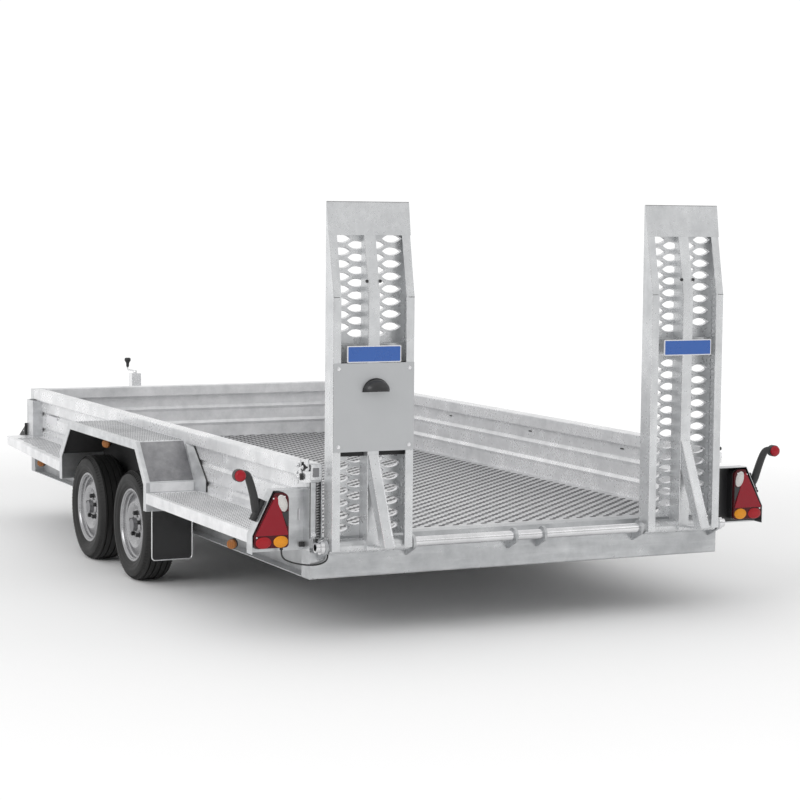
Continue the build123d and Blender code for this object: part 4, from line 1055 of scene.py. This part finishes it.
def makeLatches():
    # A hook plate, an eccentric lever and its pins on the outside of each rear corner
    hook = prism(roundedOutline(latch["hook"], 0.006), "y", *latch["hookSheet"])
    lever = prism(roundedOutline(latch["lever"], 0.005), "y", *latch["leverSheet"])
    nuts, rings = [], []
    for x, z, size, length in latch["pins"]:
        nuts.append(boltHead(size * 0.85, 0.007, (x, latch["face"] + length, z), (0, 1, 0)))
        rings.append(aimed(disc(size * 1.5, length * 0.8, 18, 0.001), (0, 1, 0), (x, latch["face"], z)))
    plates = [boxForm(*latch["slider"]), boxForm(*latch["tongue"])]
    bothSides("cornerLatch", joined(hook, lever, *nuts, *plates), "brightZinc", bevel=0.0012)
    bothSides("latchRings", joined(*rings), "blackRubber", bevel=0.001)
    bothSides("railEndCap", roundedSheet(*latch["railCap"], 0.004), "brightZinc", bevel=0.0015)
    # The plug takes the same darker zinc as the painted shade of the dots
    bothSides("railEndPlug", roundedSheet(*latch["railPlug"], 0.003), "dotShadeZinc", bevel=0.001)


makeSprings()
makeLatches()
print("rear corners dressed")


# Painted shade under the wheel arches, and mud flaps

arch = {
    "wall": (0.9905, 0.9925), "width": (0.993, 1.216),
    "side": [(1.356, 0.38), (1.356, 0.505), (1.5, 0.672), (2.541, 0.672), (2.702, 0.505), (2.702, 0.38)],
    "sheets": [[(1.505, 0.672), (2.535, 0.672), (2.535, 0.677), (1.505, 0.677)],
               [(1.358, 0.506), (1.5, 0.672), (1.505, 0.672), (1.362, 0.504)],
               [(2.7, 0.506), (2.541, 0.672), (2.536, 0.672), (2.696, 0.504)]],
}


def makeArchShade():
    # Painted shade: dark liners under each wing, against the rail and the wing's top
    sheets = [prism(outline, "y", *arch["width"]) for outline in arch["sheets"]]
    liner = joined(prism(arch["side"], "y", *arch["wall"]), *sheets)
    bothSides("archShadeLiner", liner, "darkPlasticAndShade")


flap = {"x": 1.352, "sheet": 0.005, "y0": 1.0, "y1": 1.196, "low": 0.146, "side": 0.374, "notch": 0.026,
        "top": 0.434}


def makeFlaps():
    x, y0, y1 = flap["x"], flap["y0"], flap["y1"]
    low, top = flap["low"], flap["top"]
    outline = [(y0, low), (y1, low), (y1, flap["side"]), (y1 - flap["notch"], top), (y0, top)]
    rubber = prism(roundedOutline(outline, [0.014, 0.014, 0.006, 0.004, 0]), "x", x, x + flap["sheet"])
    path = [(x - 0.001, y, z) for y, z in roundedOutline(outline, [0.016, 0.016, 0.006, 0.006, 0.002], 6)]
    frameTube = tubeForm(path, 0.0032, 8, closed=True)
    pieces = bothSides("mudFlap", rubber, "blackRubber", bevel=0.001)
    bothSides("mudFlapFrame", frameTube, "brightZinc", smoothAngle=60)
    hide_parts("mud_flaps")


makeArchShade()
makeFlaps()
print("arches and flaps made")


# Small fittings seen in the photo

wingEdgeLine = {
    "outer": [(1.349, 0.989, 0.461), (1.349, 0.989, 0.507), (1.493, 0.989, 0.681)],
    "inner": [(1.276, 0.957, 0.461), (1.276, 0.957, 0.517), (1.45, 0.957, 0.668)],
    "sheet": 0.003, "rubber": 0.0038,
}


def makeWingClosers():
    # A closing sheet from each wing's rear end to the wall, with a thin black tube along its inner edge
    outer, inner, sheet = wingEdgeLine["outer"], wingEdgeLine["inner"], wingEdgeLine["sheet"]
    near = outer + inner[::-1]
    verts = near + [(x + sheet, y, z - sheet) for x, y, z in near]
    count = len(near)
    faces = [(i, i + 1, count - 2 - i, count - 1 - i) for i in range(len(outer) - 1)]
    faces += [tuple(index + count for index in reversed(face)) for face in faces]
    bothSides("wingCloser", (verts, faces + band(count, 0, count)), "sheetZinc")
    # A thin black tube along each closer's inner edge
    bothSides("wingEdgeLine", tubeForm(inner, wingEdgeLine["rubber"], 10), "blackRubber", smoothAngle=60)


wingFace = {"width": (0.994, 1.206), "strip": (1.3478, 1.349), "stripHeight": (0.464, 0.505),
            "slope": [(1.3515, 0.5125), (1.3505, 0.5133), (1.4885, 0.68), (1.4895, 0.6792)]}


def makeWingFaces():
    # Painted shade on each wing's rear slope, as a sheet of much darker zinc, and the brighter strip below it
    slope = prism(wingFace["slope"], "y", *wingFace["width"])
    strip = boxForm(*wingFace["strip"], *wingFace["width"], *wingFace["stripHeight"])
    bothSides("wingSlopeShade", slope, "slopeShadeZinc")
    bothSides("wingStrip", strip, "boardZinc")


rampTrim = {
    "lip": [(-0.047, 1.659), (-0.0492, 1.659), (-0.0292, 1.7955), (-0.027, 1.7955)],
    "lipEdge": (-0.0305, -0.0265), "lipEdgeHeight": (1.7925, 1.7955),
    "seam": (-0.0986, -0.097), "seamHeight": (1.4085, 1.4105), "seamWidth": 0.028,
    "bead": (-0.036, -0.026), "beadWidth": 0.003, "beadHalf": 0.0075, "beadFrom": 0.45, "beadTo": 1.4,
    "beadInset": 0.004,
    "plug": (-0.088, 0.025, 1.474), "footEdge": [(-0.1, 0.768), (-0.2665, 0.411)], "footHalf": 0.0203,
    "webEdge": [(-0.0985, 0.45), (-0.0985, 1.409), (-0.0478, 1.658)], "webInset": 0.0005, "webHalf": 0.0245,
    "pad": (-0.06, -0.03), "padHeight": (0.762, 0.788), "padGap": 0.025,
}


def makeRampFittings():
    # Lip sheet, seams, edge beads, plugs and bright lines along the foot and web edges, which are painted
    # highlights, on both ramps; the left one's number board has a pad
    middle, inner, outer = rampMiddle(), ramp["inner"], ramp["inner"] + ramp["width"]
    lip = prism(rampTrim["lip"], "y", inner - 0.003, outer + 0.003)
    lipEdge = boxForm(*rampTrim["lipEdge"], inner - 0.002, outer + 0.002, *rampTrim["lipEdgeHeight"])
    seams = [boxForm(*rampTrim["seam"], y, y + rampTrim["seamWidth"], *rampTrim["seamHeight"])
             for y in (inner, outer - rampTrim["seamWidth"])]
    low, high = inner + rampTrim["beadInset"], outer - rampTrim["beadInset"]
    level, beads, wide, half = rampTrim["beadFrom"], [], rampTrim["beadWidth"], rampTrim["beadHalf"]
    while level < rampTrim["beadTo"]:
        beads += [boxForm(*rampTrim["bead"], y, y + wide, level - half, level + half)
                  for y in (low, high - wide)]
        level += ramp["pitch"] / 2
    plugX, plugY, plugZ = rampTrim["plug"]
    plugs = [aimed(disc(0.0065, 0.01, 16, 0.002), (0, sign, 0), (plugX, middle + plugY * sign, plugZ))
             for sign in (-1, 1)]
    # Bright thin tubes along the foot's edges: painted highlights
    edges = [tubeForm([(x, y, z) for x, z in rampTrim["footEdge"]], 0.0026, 8)
             for y in (middle - rampTrim["footHalf"], middle + rampTrim["footHalf"])]
    webs = {"left": (outer - rampTrim["webInset"], middle + rampTrim["webHalf"]),
            "right": (rampTrim["webInset"] - inner, rampTrim["webHalf"] - middle)}
    # Bright thin tubes along the web edges: painted highlights
    for side, body in zip(sides, rampBodies):
        lines = [tubeForm([(x, y, z) for x, z in rampTrim["webEdge"]], 0.0017, 8) for y in webs[side]]
        makePiece("webHighlightLines" + side.capitalize(), joined(*lines), "brightZinc", body)
    for name, forms, finish in (("lipSheet", [lip], "rampZinc"), ("lipEdge", [lipEdge], "springSteel"),
                                ("flangeSeams", seams, "darkPlasticAndShade"), ("edgeBeads", beads, "brightZinc"),
                                ("beamPlugs", plugs, "blackRubber"), ("footHighlightLines", edges, "brightZinc")):
        bothSides(name, joined(*forms), finish, rampBodies, smoothAngle=40)
    pad = [boxForm(*rampTrim["pad"], y0, y1, *rampTrim["padHeight"])
           for y0, y1 in ((low, middle - rampTrim["padGap"]), (middle + rampTrim["padGap"], high))]
    makePiece("boardPad", joined(*pad), "darkPlasticAndShade", "ramp_left")


lampTray = {
    "panel": [(0.9875, 0.372), (1.238, 0.372), (1.238, 0.449), (1.148, 0.63), (0.9875, 0.63)],  # y, z
    "flange": [(1.238, 0.372), (1.238, 0.449), (1.148, 0.63), (0.9875, 0.63),
               (0.9875, 0.6278), (1.1467, 0.6278), (1.2358, 0.4485), (1.2358, 0.372)],
    "shadeLining": [(1.2356, 0.374), (1.2356, 0.4485), (1.1465, 0.6276), (0.9905, 0.6276),
               (0.9905, 0.6262), (1.1456, 0.6262), (1.2342, 0.448), (1.2342, 0.374)],
    "shadeBacking": [(0.996, 0.378), (1.23, 0.378), (1.23, 0.448), (1.142, 0.626), (0.996, 0.626)],
    "rear": 0.006, "face": 0.06, "sheet": 0.003, "shadeBackingDepth": (0.0545, 0.0595),
    "side": (0.9875, 0.9905, 0.372, 0.63), "bar": (0.0545, 0.06, 1.007, 1.0145, 0.494, 0.542),
    "clip": (0.046, 0.06, 0.968, 1.01, 0.385, 0.404), "gap": (-0.002, 0.002, 0.986, 0.9885, 0.425, 0.655),
}


def makeLampTrays():
    # Each lamp sits in a folded tray; the right one's black lining and backing are painted shade inside it
    rear, face = lampTray["rear"], lampTray["face"]
    panel = prism(lampTray["panel"], "x", face, face + lampTray["sheet"])
    flange = prism(lampTray["flange"], "x", rear, face)
    side = boxForm(0, face, *lampTray["side"])
    trays = bothSides("lampTray", joined(panel, flange, side), "sheetZinc")
    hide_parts("lamp_plates")
    shadeLining = prism(lampTray["shadeLining"], "x", rear, face)
    makePiece("lampShadeLiningRight", mirrored(shadeLining), "blackPlastic")
    # The strip in the gap beside the tray is black: painted shade
    clips = joined(boxForm(*lampTray["clip"]), boxForm(*lampTray["gap"]))
    bothSides("plateBar", boxForm(*lampTray["bar"]), "plateWhite", bevel=0.001)
    bothSides("plateClipAndGapShade", clips, "blackRubber")
    shadeBacking = prism(lampTray["shadeBacking"], "x", *lampTray["shadeBackingDepth"])
    makePiece("lampShadeBackingRight", mirrored(shadeBacking), "blackPlastic", bevel=0.001)


wallTrim = {
    "label": (3.665, 3.865, 0.9535, 0.9555, 0.548, 0.592),
    "edgeHighlight": (1.044, 1.052, 0.954, 0.964, 0.618, 0.668),
    "slots": (0.75, 1.65, 2.55, 3.45), "slotHalf": 0.014, "slot": (0.9475, 0.9505, 0.64, 0.646),
}


def makeWallFittings():
    # Blank label, a bright box as a painted highlight on a panel edge, and dark boxes as painted shade in the
    # lashing slots
    half = wallTrim["slotHalf"]
    slots = [boxForm(x - half, x + half, *wallTrim["slot"]) for x in wallTrim["slots"]]
    bothSides("wallLabel", boxForm(*wallTrim["label"]), "plateWhite")
    bothSides("wallEdgeHighlight", boxForm(*wallTrim["edgeHighlight"]), "brightZinc", bevel=0.001)
    bothSides("lashingSlotShade", joined(*slots), "darkPlasticAndShade")


chockStud = {"radius": 0.0042, "thick": 0.0015, "y": 1.014,
             "places": [(4.09, 0.446), (4.09, 0.494), (4.128, 0.446), (4.128, 0.48), (4.166, 0.446),
                        (4.2, 0.446)]}


def makeChockStuds():
    stud = disc(chockStud["radius"], chockStud["thick"], 12)
    studs = [aimed(stud, (0, 1, 0), (x, chockStud["y"], z)) for x, z in chockStud["places"]]
    bothSides("chockStuds", joined(*studs), "plateWhite")


crank = {"x": 4.871, "y": 0.09, "tipX": 4.986, "tipY": 0.1, "top": 0.74, "arm": 0.754, "bend": 0.02,
         "rod": 0.0055,
         "knob": [(0, 0.769), (0.006, 0.77), (0.0095, 0.778), (0.0095, 0.792), (0.012, 0.8), (0.019, 0.81),
                  (0.02, 0.818), (0.0185, 0.826), (0.014, 0.8295), (0, 0.83)]}


def makeCrank():
    # The jack's crank: boss, bent arm and a mushroom grip
    x, y, tipX, tipY, level = (crank[key] for key in ("x", "y", "tipX", "tipY", "arm"))
    boss = aimed(disc(0.012, 0.018, 20, 0.002), (0, 0, 1), (x, y, crank["top"]))
    bends = [(x, y, level), (tipX - crank["bend"], tipY, level), (tipX, tipY, level + 0.006),
             (tipX, tipY, level + 0.022)]
    arm = tubeForm(smoothPath(bends, 4), crank["rod"], 12)
    knob = aimed(turnedRing(crank["knob"], 28, closed=False), (0, 0, 1), (tipX, tipY, 0))
    metal = makePiece("crankArm", joined(boss, arm), "brightZinc", smoothAngle=50)
    makePiece("crankKnob", knob, "blackPlastic", smoothAngle=50)
    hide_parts("jack_crank")


makeWingClosers()
makeRampFittings()
makeLampTrays()
makeWingFaces()
makeWallFittings()
makeChockStuds()
makeCrank()
print("fittings made")


# Studio

studio = {
    "floorHalf": 60, "floorColour": (0.97, 0.97, 0.97), "floorFade": (3.0, 6.0), "zenith": 0.9,
    "behind": 0.54, "ahead": 0.5, "seenWhite": 1.05,
    # Each softbox: name, place, target, size, energy
    "softboxes": [("keySoftbox", (-9.0, 18.0, 12.0), (-0.5, 0, 0.5), (12, 8), 1050),
                  ("fillSoftbox", (-15.0, -12.0, 10.0), (-1.0, 0, 0.8), (10, 6), 90)],
}


def makeFloor():
    # White near the trailer, and further out as bright as the background
    half = studio["floorHalf"]
    mesh = bpy.data.meshes.new("studioFloor")
    corners = [(-half, -half, 0), (half, -half, 0), (half, half, 0), (-half, half, 0)]
    mesh.from_pydata(corners, [], [(0, 1, 2, 3)])
    material, tree, shader = newMaterial("floorPaint", {"Roughness": 0.8, "Emission Strength": 1.0})
    where = objectPlace(tree)
    distance = addNode(tree, "ShaderNodeVectorMath", operation="LENGTH")
    feed(tree, distance.inputs[0], where)
    near, far = studio["floorFade"]
    beyond = calc(tree, "SUBTRACT", distance.outputs["Value"], near)
    share = calc(tree, "DIVIDE", beyond, far - near, clamp=True)
    tone = noise(tree, where, 0.4, 2)
    colour = studio["floorColour"]
    paint = mixColour(tree, tone, colour, tuple(value * 0.985 for value in colour))
    feed(tree, shader.inputs["Base Color"], mixColour(tree, share, paint, (0, 0, 0)))
    feed(tree, shader.inputs["Emission Color"], mixColour(tree, share, (0, 0, 0), (1, 1, 1)))
    mesh.materials.append(material)
    floor = bpy.data.objects.new("studioFloor", mesh)
    bpy.context.collection.objects.link(floor)


def makeWorld():
    # A pale room, brighter ahead of the trailer than behind it; the camera sees plain white
    world = bpy.data.worlds.new("studioWorld")
    bpy.context.scene.world = world
    world.use_nodes = True
    tree = world.node_tree
    background = tree.nodes["Background"]
    background.inputs["Color"].default_value = (1, 1, 1, 1)
    split = addNode(tree, "ShaderNodeSeparateXYZ")
    feed(tree, split.inputs[0], addNode(tree, "ShaderNodeTexCoord").outputs["Generated"])
    level = calc(tree, "POWER", calc(tree, "MAXIMUM", split.outputs[2], 0), 0.7)
    forward = calc(tree, "MAXIMUM", split.outputs[0], 0)
    horizon = calc(tree, "MULTIPLY_ADD", forward, studio["ahead"], studio["behind"])
    rise = calc(tree, "MULTIPLY", calc(tree, "SUBTRACT", studio["zenith"], horizon), level)
    strength = calc(tree, "ADD", horizon, rise)
    seen = addNode(tree, "ShaderNodeLightPath").outputs["Is Camera Ray"]
    shown = addNode(tree, "ShaderNodeMix", data_type="FLOAT")
    for index, value in ((0, seen), (2, strength), (3, studio["seenWhite"])):
        feed(tree, shown.inputs[index], value)
    feed(tree, background.inputs["Strength"], shown.outputs[0])


def addSoftbox(name, place, target, size, energy):
    data = bpy.data.lights.new(name, "AREA")
    data.shape = "RECTANGLE"
    data.size, data.size_y = size
    data.energy = energy
    lamp = bpy.data.objects.new(name, data)
    bpy.context.collection.objects.link(lamp)
    lamp.location = place
    lamp.rotation_euler = (Vector(target) - Vector(place)).to_track_quat("-Z", "Y").to_euler()


makeFloor()
makeWorld()
for softbox in studio["softboxes"]:
    addSoftbox(*softbox)
bpy.context.scene.view_settings.view_transform = "Standard"
print("studio made")
